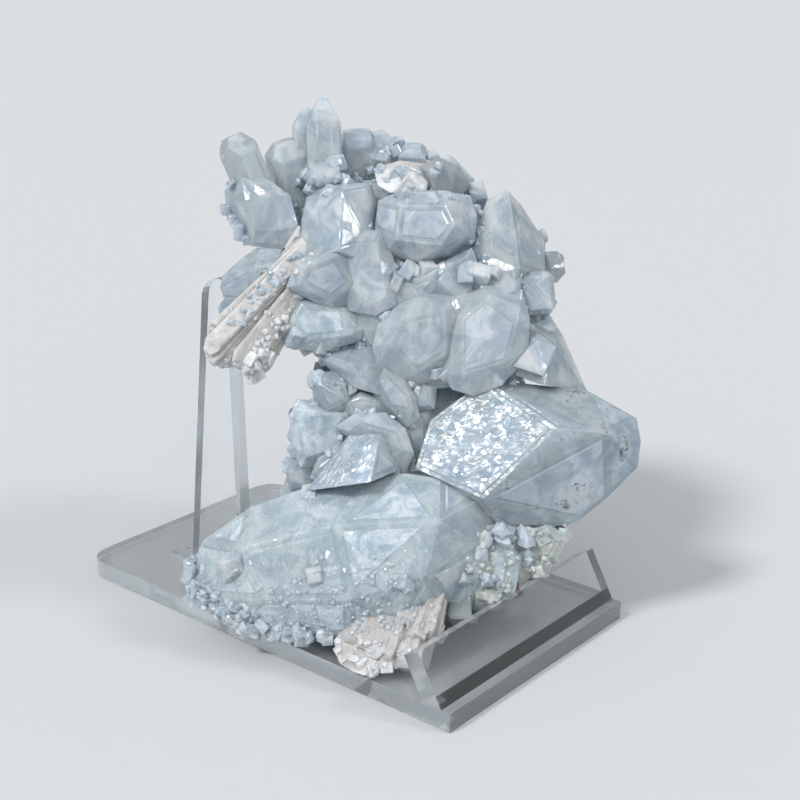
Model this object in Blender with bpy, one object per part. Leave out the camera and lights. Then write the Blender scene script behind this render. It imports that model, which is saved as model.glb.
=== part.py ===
"""Apophyllite cluster with stilbite, resting on its clear acrylic display stand.

Metres, +Z up. The origin is the centre of the stand's underside. The stand's lip runs along X
at the -Y edge, and its upright fin stands at the +Y end. Crystals are written in millimetres.
"""
import math
import random

import bmesh
import bpy
from mathutils import Matrix, Vector

MM = 0.001
FIT_GAP = 0.3

# The stand: one acrylic sheet bent up at the front, and a fin let into a slot in it.
SHEET = 4.0
BASE_WIDTH = 60.6
BASE_DEPTH = 108.5
BASE_CORNER = 5.5
LIP_LENGTH = 16.5
LIP_LEAN = math.radians(28.6)
FIN_LEFT = -15.9
FIN_SLOT_FRONT = 16.2
FIN_SLOT_BACK = 40.8
FIN_FRONT_BOTTOM = 17.5
FIN_FRONT_TOP = 18.7
FIN_BACK_BOTTOM = 33.6
FIN_BACK_TOP = 26.2
FIN_HEIGHT = 73.6
FIN_BACK_CORNER = 5.5
FIN_FRONT_CORNER = 1.5
TAB_LIFT = 0.4

# The specimen is placed from its show side. A place is (across, rise, toward): across and rise
# are millimetres on a pane held square to the view, and toward is the depth in front of the
# specimen's middle, measured back along the sight line through that spot on the pane.
VIEW_YAW = math.radians(49.92)
VIEW_DROP = math.radians(19.1)
EYE_TO_PANE = 286.25
EYE_TO_MIDDLE = 307.0
MIDDLE = Vector((4.9, -12.3, 48.2))
AHEAD = Vector((
    math.sin(VIEW_YAW) * math.cos(VIEW_DROP),
    math.cos(VIEW_YAW) * math.cos(VIEW_DROP),
    -math.sin(VIEW_DROP),
))
ACROSS = Vector((math.cos(VIEW_YAW), -math.sin(VIEW_YAW), 0.0))
RISE = ACROSS.cross(AHEAD)
# An axis this close to the sight line counts as seen end on.
END_ON = 0.8
# How far the end faces, their lean and the cut edges vary from crystal to crystal.
SLOPE_VARIES = (0.75, 1.3)
LEAN_VARIES = (0.9, 1.1)
CORNER_VARIES = (0.5, 1.3)
# Where along its step a small crystal of a fringe stands, and its length in widths.
STEP_VARIES = (0.2, 0.8)
SMALL_LENGTH = 1.4


def spot(across, rise, toward):
    """The point in millimetres that shows at (across, rise) on the pane, at depth toward."""
    spread = (EYE_TO_MIDDLE - toward) / EYE_TO_PANE
    return MIDDLE + ACROSS * across * spread + RISE * rise * spread - AHEAD * toward


def clear_scene():
    for item in list(bpy.data.objects):
        bpy.data.objects.remove(item)


def make_material(name, colour, roughness, transmission=0.0, ior=1.5):
    material = bpy.data.materials.new(name)
    material.use_nodes = True
    shader = material.node_tree.nodes["Principled BSDF"]
    shader.inputs["Base Color"].default_value = (*colour, 1.0)
    shader.inputs["Roughness"].default_value = roughness
    shader.inputs["Metallic"].default_value = 0.0
    shader.inputs["Transmission Weight"].default_value = transmission
    shader.inputs["IOR"].default_value = ior
    return material


def add_object(name, mesh, material):
    item = bpy.data.objects.new(name, mesh)
    bpy.context.scene.collection.objects.link(item)
    item.data.materials.clear()
    item.data.materials.append(material)
    return item


def mesh_from(shape, name):
    """A finished bmesh becomes a mesh of triangles, which Booleans take best."""
    bmesh.ops.triangulate(shape, faces=shape.faces)
    bmesh.ops.recalc_face_normals(shape, faces=shape.faces)
    mesh = bpy.data.meshes.new(name)
    shape.to_mesh(mesh)
    shape.free()
    return mesh


def prism(outline, low, high, axis):
    """Outline points (p, q) extruded from low to high along X or Z."""
    shape = bmesh.new()
    place = {
        "X": lambda p, q: Vector((low, p, q)),
        "Z": lambda p, q: Vector((p, q, low)),
    }[axis]
    step = {"X": Vector((high - low, 0, 0)), "Z": Vector((0, 0, high - low))}[axis]
    face = shape.faces.new([shape.verts.new(place(p, q)) for p, q in outline])
    grown = bmesh.ops.extrude_face_region(shape, geom=[face])
    moved = [v for v in grown["geom"] if isinstance(v, bmesh.types.BMVert)]
    bmesh.ops.translate(shape, vec=step, verts=moved)
    return shape


def arc(centre, radius, start, end, steps=6):
    """Points on a circle, angles in degrees."""
    turns = [math.radians(start + (end - start) * i / steps) for i in range(steps + 1)]
    return [(centre[0] + radius * math.cos(a), centre[1] + radius * math.sin(a)) for a in turns]


def boolean(target, tool, operation, solver="EXACT"):
    """Apply one Boolean to target's mesh and remove the tool."""
    modifier = target.modifiers.new("cut", "BOOLEAN")
    modifier.operation = operation
    modifier.solver = solver
    modifier.object = tool
    bpy.context.view_layer.update()
    seen = target.evaluated_get(bpy.context.evaluated_depsgraph_get())
    result = bpy.data.meshes.new_from_object(seen)
    target.modifiers.remove(modifier)
    target.data = result
    bpy.data.objects.remove(tool)


def box(low, high):
    shape = bmesh.new()
    bmesh.ops.create_cube(shape, size=1.0)
    size = Vector(high) - Vector(low)
    middle = (Vector(high) + Vector(low)) / 2
    bmesh.ops.scale(shape, vec=size, verts=shape.verts)
    bmesh.ops.translate(shape, vec=middle, verts=shape.verts)
    return shape


def lip_outline(grow=0.0):
    """Section of the bent-up lip in Y and Z, thickened all round by grow."""
    front = -BASE_DEPTH / 2
    up = Vector((math.sin(LIP_LEAN), math.cos(LIP_LEAN)))
    back = Vector((math.cos(LIP_LEAN), -math.sin(LIP_LEAN)))
    outer_top = Vector((front, 0.0)) + up * (LIP_LENGTH + grow) - back * grow
    inner_top = outer_top + back * (SHEET + 2 * grow)
    fold = inner_top - up * (inner_top.y / up.y)
    return [
        (outer_top.x - up.x * outer_top.y / up.y, 0.0),
        tuple(outer_top),
        tuple(inner_top),
        tuple(fold),
    ]


def plate_outline():
    """Plan of the flat part of the sheet, with round back corners."""
    side = BASE_WIDTH / 2
    front = -BASE_DEPTH / 2
    corner = BASE_DEPTH / 2 - BASE_CORNER
    inner = side - BASE_CORNER
    return (
        [(-side, front), (side, front)]
        + arc((inner, corner), BASE_CORNER, 0, 90)
        + arc((-inner, corner), BASE_CORNER, 90, 180)
    )


def fin_outline(grow=0.0):
    """Side view of the upright fin in Y and Z, with its tab reaching into the slot."""
    foot = SHEET + FIT_GAP
    tab_back = FIN_SLOT_BACK - FIT_GAP
    back = (FIN_BACK_TOP - FIN_BACK_CORNER, FIN_HEIGHT - FIN_BACK_CORNER)
    front = (FIN_FRONT_TOP + FIN_FRONT_CORNER, FIN_HEIGHT - FIN_FRONT_CORNER)
    return (
        [
            (FIN_FRONT_BOTTOM - grow, TAB_LIFT),
            (tab_back, TAB_LIFT),
            (tab_back, foot),
            (FIN_BACK_BOTTOM + grow, foot),
        ]
        + arc(back, FIN_BACK_CORNER + grow, 0, 90)
        + arc(front, FIN_FRONT_CORNER + grow, 90, 180, 3)
    )


def make_stand(base_material, fin_material):
    side = BASE_WIDTH / 2
    base = add_object("stand_base", mesh_from(prism(plate_outline(), 0.0, SHEET, "Z"), "base"),
                      base_material)
    lip = add_object("lip", mesh_from(prism(lip_outline(), -side, side, "X"), "lip"),
                     base_material)
    boolean(base, lip, "UNION")
    past = 1.0
    slot = box(
        (FIN_LEFT - FIT_GAP, FIN_SLOT_FRONT, -past),
        (FIN_LEFT + SHEET + FIT_GAP, FIN_SLOT_BACK, SHEET + past),
    )
    boolean(base, add_object("slot", mesh_from(slot, "slot"), base_material), "DIFFERENCE")
    fin = prism(fin_outline(), FIN_LEFT, FIN_LEFT + SHEET, "X")
    add_object("stand_upright", mesh_from(fin, "upright"), fin_material)


def hull(points):
    """The flat-faced solid that spans the given spots."""
    shape = bmesh.new()
    for point in points:
        shape.verts.new(spot(*point))
    result = bmesh.ops.convex_hull(shape, input=shape.verts)
    loose = [v for v in result["geom_interior"] if isinstance(v, bmesh.types.BMVert)]
    bmesh.ops.delete(shape, geom=loose, context="VERTS")
    return shape


def cut(shape, point, normal):
    """Slice off what lies beyond the plane and close the new face."""
    parts = shape.verts[:] + shape.edges[:] + shape.faces[:]
    bmesh.ops.bisect_plane(shape, geom=parts, dist=1e-6, plane_co=point, plane_no=normal,
                           clear_outer=True)
    rim = [edge for edge in shape.edges if edge.is_boundary]
    if rim:
        bmesh.ops.holes_fill(shape, edges=rim, sides=0)


def crystal(name, foot, tip, wide, thick, roll=0.0, slope=3.0, flat=0.5, corner=0.25):
    """A square prism from foot to tip, its edges cut and its end closed by four faces.

    wide and thick are the widths across the axis, slope is how far the end faces reach down
    it, and flat is the share of the width that stays as a flat top.
    """
    dice = random.Random(name)
    start = spot(*foot)
    end = spot(*tip)
    axis = (end - start).normalized()
    end_on = abs(axis.dot(AHEAD)) > END_ON
    reference = RISE if end_on else -AHEAD
    sideways = reference.cross(axis).normalized()
    sideways = Matrix.Rotation(math.radians(roll), 3, axis) @ sideways
    across = axis.cross(sideways)
    shape = box((-wide / 2, -thick / 2, 0), (wide / 2, thick / 2, (end - start).length))
    turn = Matrix((sideways, across, axis)).transposed().to_4x4()
    bmesh.ops.transform(shape, matrix=Matrix.Translation(start) @ turn, verts=shape.verts)
    for side, half, other, other_half in (
        (sideways, wide / 2, across, thick / 2), (-sideways, wide / 2, across, thick / 2),
        (across, thick / 2, sideways, wide / 2), (-across, thick / 2, sideways, wide / 2),
    ):
        reach = slope * dice.uniform(*SLOPE_VARIES)
        shoulder = end - axis * reach + side * half
        lean = side * reach + axis * half * (1 - flat) * dice.uniform(*LEAN_VARIES)
        cut(shape, shoulder, lean.normalized())
        if corner:
            share = corner * dice.uniform(*CORNER_VARIES)
            edge = start + side * half * (1 - share) + other * other_half
            cut(shape, edge, (side * other_half + other * half).normalized())
    return shape


# Places are (across, rise, toward) and sizes are millimetres.
# A big crystal is spanned by its corners, the others are named prisms: foot, tip, wide, thick.
BLOCKS = {
    "low_giant": [
        (-42, -33.2, 0), (-39.4, -28, 1), (-30, -21.4, 5), (-19.4, -17.6, 8), (1, -14.6, 10),
        (8, -15.6, 11), (16.4, -19.6, 12), (21, -24.4, 8), (-32, -29.6, 12), (-13, -25, 20),
        (8, -24, 21), (-27.6, -40, 15), (-10, -40, 23), (5, -35, 22), (-42, -39, 3),
        (-35, -45, 7), (-20, -48, 13), (-10, -46.8, 18), (0, -42.8, 20), (9.6, -40.4, 15),
        (16, -29, 14), (14, -38, 12), (-32, -32, -10), (-14, -21, -14), (10, -20, -10),
        (-18, -40, -2), (6, -34, -2),
    ],
    "right_giant": [
        (31.4, -5.6, 16), (17, 4.2, 8), (16.6, -19.8, 16), (6, -4, 7.3), (3, -13.6, 9.6),
        (37.4, 2, 2), (44, -1.6, 4), (47.4, -3.6, 5), (48.2, -8.2, 7), (47.6, -13.4, 7),
        (41.6, -19.4, 8), (36, -24, 8), (33.2, -25.2, 8), (41.2, -6.6, 14), (20, -25, 11),
        (38, -10, -14), (24, -20, -14), (20, 0, -14), (6, -12, -10),
    ],
    "bright_flank": [
        (-19, -18.2, 10), (-11, -8.8, 12), (-9.6, -6, 9), (-6.4, -4.6, 8), (-3, -4, 7),
        (0, -6.4, 6), (1.2, -9, 6), (0.8, -13.6, 8), (-4.4, -8.6, 14), (-6, -16.4, 17),
        (-12, -17.2, 16), (-10, -14, -8), (-2, -8, -8),
    ],
    "left_wedge": [
        (-17.2, 9.8, 4), (-15.8, 8.4, 7), (-13.4, 5.2, 6), (-12.6, 11.6, 3), (-8, 12.2, 4),
        (-5, 11.2, 6), (-0.8, 6.8, 8), (-4, 1, 9), (-9, 2.4, 9), (-11, 7, 11), (-6, 6, -14),
        (-12, 8, -8),
    ],
    "shield": [
        (-4.4, 40, 5), (0, 42, 6), (8, 42, 6), (14, 41, 3), (15.4, 37, 3), (15, 32, 4),
        (10, 28.4, 6), (3, 27.2, 8), (-3, 29.6, 7), (-5.2, 34, 5), (0, 39, 13), (9, 39, 13),
        (11, 35, 13), (8, 31, 13), (-1, 32, 13), (5, 35, -16), (12, 38, -12),
    ],
    "sharp_point": [
        (21.4, 42.2, -2), (22.2, 39, 2), (23, 32, 6), (24, 26.4, 9), (17.4, 40.2, -4),
        (14, 30, 4), (15, 25, 6), (26, 34, -3), (28.8, 32, -6), (29, 25, -1), (22, 22, 8),
        (21, 34, -18), (27, 27, -18), (16, 34, -14), (24.4, 38.8, -5),
    ],
    "upper_left_face": [
        (-18.8, 40.6, 2), (-16, 42.8, 2), (-11, 43.8, 2), (-5.6, 43.2, 1), (-4.8, 40, 2),
        (-11.8, 42, 7), (-12.4, 30, 12), (-20.4, 33, 5), (-19.4, 27.6, 8), (-6.4, 32, 7),
        (-6.8, 27.6, 8), (-12, 36, -14),
    ],
    "small_cube": [
        (22.6, 6.8, 11), (28.6, 4.8, 11), (31.2, 10.6, 8), (27.4, 12, 9.5), (24, 13.8, 5),
        (27, 14.2, 4), (24, 6, -6), (30, 5, -6), (30, 13, -6), (22.4, 10, 6),
    ],
    "shoulder": [
        (-35.2, 42, 0), (-35, 38.8, 0), (-31.4, 35.6, 1), (-31.6, 32.8, 1), (-30, 30.8, 2),
        (-23.4, 30.2, 4), (-20.4, 35, 6), (-22, 41, 4), (-27.6, 45, 2), (-32, 45, 3),
        (-31, 40, 5), (-25.6, 41, 6), (-24, 34, 6.6), (-29, 34, 4.6), (-26, 37, -14),
        (-21, 38, -14),
    ],
    "behind_arm": [
        (-28.6, 30.6, 3), (-23, 30.6, 3), (-32, 28.2, 5), (-35.6, 24.8, 5.5),
        (-36.2, 22.8, 6), (-35.4, 20.4, 6.5), (-30, 20, 9), (-24, 26, 9), (-30, 26, 9),
        (-21, 22, -8), (-26, 27, -6),
    ],
    "behind_arm_low": [
        (-36.8, 18.6, 6), (-36, 16.2, 6.5), (-34.4, 15, 7), (-29, 17, 9), (-30, 21, 9),
        (-35.2, 20.6, 7), (-24, 18, 2), (-24, 21, -4),
    ],
    "right_slope": [
        (24, 16.4, 5), (29.6, 17.6, -2), (32.4, 13.2, -3), (31.2, 11, 4), (34, 9.6, -5),
        (37.4, 1.8, -4), (29, 3, 8), (23, 5, 8), (32, 5, 4), (31, 8, -20), (26, 14, -20),
        (35, 2, -16),
    ],
    "cream_patch": [
        (-5.4, 46.4, 0), (0, 48, 0), (6, 47.2, 0), (5.4, 42, 5), (-2, 41.4, 6), (-4.6, 43, 4),
        (2, 45.4, 6), (1, 45, -16),
    ],
    "foot_sheaf": [
        (-13.4, -48, 17), (-12.4, -52.4, 21), (-9.6, -54.4, 23), (-7, -55.2, 24),
        (-4.8, -54.4, 23.5), (-1.6, -52.6, 23), (2, -50.2, 22), (4.6, -48, 20),
        (7.6, -45.2, 17), (9.4, -42.6, 14), (6, -39, 16), (-4, -42, 20), (-11, -45, 18),
        (0, -46, 4), (-6, -50, 12), (6, -42, 2),
    ],
    "right_matrix": [
        (13, -26, 14), (20, -24.6, 11), (28, -25, 8), (33.4, -25.4, 6), (32.4, -28, 6),
        (31.2, -30.6, 6.5), (29.2, -31.2, 7), (27, -35.2, 8), (24, -34.6, 9), (16, -40, 12),
        (18, -34, 13), (24, -28, -16), (30, -28, -6), (18, -36, -2),
    ],
    "matrix_upper": [
        (-20, 38, -2), (-12, 44, -5), (4, 44, -5), (16, 38, -3), (26, 28, -3), (27, 14, 0),
        (24, 4, 5), (4, 2, 7), (-12, 11, 4), (-20, 20, 4), (0, 24, 9), (14, 20, 9),
        (-10, 20, 8), (10, 10, 9), (22, 24, 4), (-16, 34, -26), (4, 40, -28), (18, 28, -28),
        (22, 8, -26), (-4, 8, -24),
    ],
    "matrix_lower": [
        (-16, 1, -2), (-4, 6, 2), (24, 2, 0), (34, -6, -2), (32, -22, 0), (20, -32, 4),
        (4, -36, 8), (-18, -36, 2), (-28, -28, -2), (-19, -14, 1), (0, -4, 6), (-14, -8, 4),
        (-12, 0, -22), (20, 4, -26), (30, -14, -22), (10, -30, -14), (-18, -24, -16),
    ],
}

CRYSTALS = [
    # Name, foot, tip, wide, thick, roll, slope, flat, corner.
    ("top_column", (-15.2, 38, -6), (-15.8, 60.4, -2), 7.6, 7.0, 12, 6.0, 0.2, 0.3),
    ("top_column_left", (-18.6, 43, -6), (-18.8, 58.6, -3), 6.0, 5.4, 10, 4.2, 0.25, 0.2),
    ("top_column_foot", (-15, 36, -8), (-15.2, 46.6, 1), 7.8, 8.0, 8, 1.5, 0.8, 0.2),
    ("left_of_column", (-20, 38, -10), (-23.4, 51.8, -3), 8.6, 8.0, 15, 3.4, 0.5, 0.3),
    ("horn", (-26, 35, -2), (-33.8, 52.8, 1), 7.8, 7.6, 28, 4.0, 0.45, 0.5),
    ("ridge_clear", (-8, 40, -16), (-8.6, 53.4, -8), 7.4, 8.0, 5, 1.6, 0.8, 0.3),
    ("ridge_peak", (-3, 41, -16), (-4.2, 53.6, -9), 8.8, 8.0, 20, 4.0, 0.35, 0.2),
    ("ridge_pale", (2, 43, -14), (2.6, 50.8, -8), 6.0, 6.0, 0, 1.6, 0.6, 0.1),
    ("ridge_nub", (6, 45, -13), (6.4, 50, -10), 2.8, 3.0, 30, 1.0, 0.5, 0.2),
    ("ridge_slope", (11, 38, -15), (9.4, 48.8, -8), 8.0, 8.0, 30, 5.5, 0.2, 0.2),
    ("ridge_corner", (14, 38, -12), (15.4, 42.6, -4), 4.6, 5.0, 10, 1.2, 0.6, 0.2),
    ("low_cube", (12, -38, 10), (12, -44.4, 13), 4.8, 5.0, 4, 0.8, 0.8, 0.2),
    ("sharp_right", (25, 28, -14), (28.2, 33, -8), 5.0, 6.0, 20, 3.0, 0.4, 0.2),
    ("dark_back", (27, 25, -20), (31.2, 27.8, -13), 7.2, 7.0, 10, 2.6, 0.5, 0.4),
    ("under_lobe", (-18, 13, -3), (-19.2, 10, 2), 3.6, 4.0, 25, 1.4, 0.4, 0.2),
    ("under_lobe_two", (-23, 16, -3), (-23.4, 12.4, 1), 4.6, 4.4, -10, 1.6, 0.5, 0.2),
    ("bright_chip", (-2, 23, -6), (-0.8, 23.4, 10), 3.8, 5.6, -25, 1.6, 0.5, 0.2),
    ("right_block", (26.8, 21, -12), (26.8, 21.4, 7), 8.6, 9.2, 4, 1.8, 0.75, 0.3),
    ("left_dark", (-12, 5, -8), (-16.8, 5.2, -1), 3.2, 5.0, 0, 1.2, 0.5, 0.1),
    ("glint_chip", (3, 0.6, -4), (2.4, 0.4, 8), 4.0, 4.0, 30, 1.2, 0.5, 0.1),
    ("arm_core", (-18, 30, 2), (-36.2, 8.2, 9.6), 8.0, 6.4, 0, 3.0, 0.6, 0.35),
    ("arm_root", (-18, 23, -2), (-25.8, 14, 8), 8.6, 7.0, 10, 2.0, 0.7, 0.2),
    ("arm_fringe_one", (-24, 16, 4), (-29.2, 7, 11), 4.4, 5.0, 20, 1.4, 0.5, 0.1),
    ("arm_fringe_two", (-22, 17, 4), (-26.8, 9, 9), 3.6, 4.0, -20, 1.2, 0.4, 0.1),
    ("low_block_two", (17, -32, 4), (17, -41.2, 11), 6.0, 6.4, -8, 1.2, 0.7, 0.1),
    ("brown_nub", (20, -34, 4), (21.4, -39, 9.5), 5.4, 5.4, 15, 1.6, 0.6, 0.4),
    ("matrix_tooth", (26, -28, 2), (27.6, -35.2, 8), 5.2, 6.0, 0, 1.6, 0.5, 0.2),
    ("giant_wart", (-16, -34, 10), (-17.2, -35.2, 21), 3.4, 3.6, 12, 0.8, 0.7, 0.1),
    ("giant_knee", (-32, -32, 6), (-33.4, -33.6, 12.5), 7.4, 6.4, 20, 2.2, 0.5, 0.6),
    # The side turned from the view.
    ("back_giant", (8, -10, -12), (14, -2, -44), 17.0, 15.0, 20, 12.0, 0.15, 0.2),
    ("back_upper", (2, 24, -16), (-4, 33, -42), 15.0, 14.0, 35, 10.0, 0.2, 0.25),
    ("back_right", (20, 12, -14), (25, 14, -38), 13.0, 12.0, 10, 8.0, 0.25, 0.3),
    ("back_left", (-6, 12, -12), (-12, 16, -34), 12.0, 11.0, 15, 7.0, 0.3, 0.3),
    ("back_low_left", (-12, -20, -8), (-14, -18, -30), 11.0, 11.0, 40, 6.0, 0.3, 0.3),
    ("back_low", (10, -24, -8), (16, -26, -30), 13.0, 11.0, 5, 6.0, 0.4, 0.3),
    ("back_crest", (12, 32, -14), (14, 36, -32), 9.0, 9.0, 25, 6.0, 0.2, 0.2),
    ("back_crest_left", (-16, 38, -12), (-18, 42, -26), 9.0, 8.0, 5, 5.0, 0.3, 0.3),
    ("back_middle", (16, 2, -18), (24, 0, -40), 11.0, 10.0, 30, 7.0, 0.3, 0.3),
    ("back_cube", (4, 12, -20), (2, 12, -36), 9.0, 10.0, 15, 1.4, 0.8, 0.1),
    ("back_chip", (-4, -4, -16), (-6, -2, -32), 8.0, 7.0, 20, 4.0, 0.4, 0.2),
    ("back_chip_two", (18, 24, -18), (22, 26, -34), 8.0, 8.0, 10, 4.0, 0.4, 0.2),
]

# Crystals met face on: depth of the rim, how far the flat face stands in front of it, the share of
# the outline that the face takes, its lean (rise of the depth per mm across and per mm of rise),
# and the outline as (across, rise).
TILES = {
    "upper_front": (8, 2.2, 0.92, (0.10, -0.12), [
        (-12, 31.4), (-4.4, 32), (-2.8, 27.6), (-2.4, 20.4), (-5.6, 18.8), (-9.6, 19.6),
        (-11.2, 23), (-12.2, 27.6)]),
    "lobe_one": (9, 2.4, 0.9, (-0.20, 0.10), [
        (-20.8, 23), (-19.4, 26.8), (-15.6, 29.2), (-12.4, 29.6), (-10.6, 27), (-8.8, 23.2),
        (-10.4, 20.2), (-13.6, 19.2), (-17.6, 21.4)]),
    "lobe_two": (7, 2.7, 0.91, (-0.12, -0.16), [
        (-22.2, 16), (-20, 19.6), (-14.8, 20), (-10.8, 18.8), (-7.6, 15.6), (-9.6, 12.8),
        (-15.6, 11), (-20, 11.6), (-22, 13.4)]),
    "lobe_three": (5.8, 2.2, 0.93, (0.16, 0.12), [
        (-9.6, 18.4), (-5, 19), (-1.6, 17), (-0.4, 13), (-2.4, 9.6), (-6, 11), (-8.4, 14)]),
    "gap_left": (7, 1.6, 0.92, (0.25, 0.20), [
        (-1.6, 20), (0, 23.6), (2.4, 25.6), (6.8, 25.6), (7.6, 23), (6.8, 20), (3, 17.6),
        (0, 17.6)]),
    "gap_middle": (7.5, 1.8, 0.93, (-0.30, 0.10), [
        (7.6, 24), (9.6, 27), (13.6, 29), (15, 25.6), (14.4, 22), (11, 20.4), (8, 21.2)]),
    "gap_right": (6.8, 1.8, 0.92, (0.22, -0.20), [
        (14.8, 22), (16, 25.2), (20, 26), (23.2, 24.8), (22.8, 21.6), (19.6, 20.4),
        (16.4, 20)]),
    "pale_lump": (8, 3.3, 0.86, (-0.10, 0.10), [
        (-3.2, 11), (-2.4, 14.4), (0.4, 17.2), (5, 19.4), (10, 19.2), (12, 16.8), (11.4, 12.8),
        (10, 8.8), (7.2, 5.8), (3.2, 4.2), (-0.4, 5.2), (-2.6, 7.6)]),
    "pale_shield": (8.6, 3.5, 0.94, (0.05, -0.08), [
        (12, 16.4), (14, 18.8), (17.2, 20.8), (20.4, 21.4), (22.6, 19.8), (23.8, 15.6),
        (23.6, 11), (21.6, 7.4), (18.8, 4.8), (15.2, 3.6), (12, 4.6), (10.4, 7), (10.6, 11)]),
    "inclusion_block": (6.6, 2.2, 0.89, (-0.10, 0.20), [
        (-16.6, 2.4), (-15.6, 4.4), (-13, 4.8), (-10.6, 3.2), (-10, 0), (-11.6, -2.4),
        (-14.6, -2.6), (-16.4, -0.4)]),
    "left_block": (5.6, 2.9, 0.92, (-0.15, 0.10), [
        (-20.6, -3.6), (-19, -1.4), (-15.6, -1.6), (-11.6, -3), (-9.6, -6), (-11.4, -9.4),
        (-15.6, -11.6), (-19, -11.8), (-20.4, -8.4)]),
    "left_low": (2.6, 2.2, 0.91, (-0.20, 0.15), [
        (-22, -14.4), (-20.6, -11.8), (-18, -11.6), (-16.2, -13.6), (-16.6, -16.8),
        (-19.2, -17.8), (-21.4, -17.2)]),
    "left_low_inner": (6.4, 1.8, 0.92, (0.15, 0.20), [
        (-16.4, -11.6), (-13, -10), (-11, -10.4), (-12, -13.6), (-14.8, -16),
        (-16.8, -15.2)]),
    "saddle": (6, 1.8, 0.93, (0.10, 0.25), [
        (-11, -0.4), (-7.6, 0.8), (-4, -0.4), (-2, -3), (-4, -4.8), (-8.4, -4.8),
        (-11, -3.2)]),
    "leaf": (8, 1.8, 0.91, (0.25, 0.10), [
        (-5.2, 4), (-3, 6), (0, 4.8), (2, 1), (2.8, -2.4), (0.8, -4), (-2, -2), (-4.4, 0.8)]),
    "recess": (5, 1.4, 0.94, (-0.15, 0.12), [
        (0.4, -4.8), (2.8, -2), (5.6, -2.4), (6.8, -6.4), (6, -12), (2.8, -14), (0.4, -11)]),
    "recess_upper": (6.4, 1.6, 0.92, (0.20, -0.15), [
        (0, 3), (3.6, 4), (6.4, 2.4), (6, -1), (2.4, -1.6), (0.4, 0)]),
    "flank_rim": (8.6, 2.2, 0.94, (0.10, 0.15), [
        (-10.8, -6), (-8, -4), (-3.2, -3.8), (-0.2, -6.2), (1.2, -10), (-0.4, -13.6),
        (-3.2, -12.4), (-7.6, -9)]),
    "glassy_lump": (1, 2.3, 0.89, (-0.20, 0.15), [
        (5, 46), (8, 47.4), (11, 46), (12.6, 43.4), (11, 40.4), (7.2, 40), (5.2, 42)]),
    "low_skirt": (12, 2.4, 0.93, (-0.10, 0.10), [
        (7.2, -28), (14, -27), (17, -32), (15.6, -38), (11.6, -41.2), (8, -40), (6.4, -34)]),
    "low_skirt_right": (10.5, 1.8, 0.93, (0.15, 0.10), [
        (15.6, -29.6), (20, -28), (23, -32), (22, -38), (18.4, -40), (16, -37)]),
    "matrix_knob": (7.6, 1.8, 0.92, (0.20, 0.10), [
        (23.6, -27), (29, -25.4), (32, -28), (30.4, -31.6), (26, -32.4), (23.6, -30)]),
}
# A tile's rim spreads past its outline, into its neighbours, and its root reaches back as far as
# its depth, at a share of the outline.
TILE_SPREAD = 1.32
TILE_DEPTH = 13.0
TILE_ROOT = 0.95
FACE_CORNERS = 5

# Sheaves of blades: foot, tip, how many blades, how far they spread to each side, their least
# and greatest width. The foot of a sheaf has a share of that spread, its outer blades are
# shorter, and each blade lies a little nearer or farther than the next.
FAN = 0.55
BLADE_REACH = (0.90, 1.0)
OUTER_BLADE_LOSS = 0.10
BLADE_NEAR = (-1.6, 1.6)
BLADE_THICK = (4.0, 6.4)
BLADE_ROLL = (-30, 30)
BLADE_SLOPE = (0.8, 2.4)
BLADE_FLAT = 0.5
BLADE_CORNER = 0.15
SHEAVES = {
    "arm": [(-17, 29, 3), (-37.4, 6.4, 11.5), 11, 4.6, 2.6, 4.6],
    "arm_low": [(-22, 20, 4), (-31.4, 4.6, 12), 6, 2.4, 2.2, 3.6],
    "foot": [(2, -36, 12), (-5.4, -53.4, 22.5), 10, 6.4, 3.0, 5.0],
    "foot_right": [(7, -36, 12), (2.6, -48.6, 20), 6, 3.6, 2.6, 4.2],
}

# Rows of small crystals: one end, other end, how many, least and greatest size.
FRINGES = {
    "giant_left_rim": [(-41.6, -38, 4), (-28, -46.6, 10), 8, 1.8, 3.4],
    "giant_left_end": [(-41.8, -32, 1), (-41.8, -41, 4), 4, 1.6, 3.0],
    "giant_low_rim": [(-26, -47, 11), (-14, -47, 17), 5, 1.8, 3.2],
    "giant_front": [(-30, -37, 13), (4, -37, 23), 8, 1.6, 2.8],
    "foot_rim": [(-12.8, -50, 19), (-5, -54.6, 23.5), 5, 1.6, 2.6],
    "foot_side": [(-3, -53, 22.5), (8.6, -44, 16), 8, 1.8, 3.2],
    "matrix_rim": [(33, -26, 6), (27, -34.6, 8), 6, 1.8, 3.0],
    "matrix_front": [(16, -28, 13), (30, -27, 8), 6, 1.8, 3.0],
    "arm_edge": [(-25.6, 11, 9), (-30.4, 4, 13), 5, 1.6, 3.0],
    "ridge": [(-6, 51, -9), (12, 45, -9), 6, 1.6, 2.8],
    "shoulder_edge": [(-35, 39, 0), (-30.4, 31.4, 2), 5, 1.6, 2.8],
    "lobe_edge": [(-22.4, 13, 5), (-15, 11, 8), 5, 1.8, 3.0],
    "gap": [(-3, 26, 8), (20, 25, 8), 9, 2.0, 3.6],
    "waist": [(-1, 6, 8), (20, 4.6, 9), 7, 1.8, 3.2],
}


def tile_points(depth, bulge, face, lean, outline):
    """Corners of a crystal met face on: its rim, the face before it with fewer corners, its root."""
    middle = [sum(values) / len(outline) for values in zip(*outline)]
    front = [outline[corner * len(outline) // FACE_CORNERS] for corner in range(FACE_CORNERS)]
    points = []
    for ring, share, forward in (
        (outline, TILE_SPREAD, 0.0), (front, face, bulge), (outline, TILE_ROOT, -TILE_DEPTH),
    ):
        for across, rise in ring:
            out = (across - middle[0]) * share
            up = (rise - middle[1]) * share
            slant = lean[0] * out + lean[1] * up
            points.append((middle[0] + out, middle[1] + up, depth + forward + slant))
    return points


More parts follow.
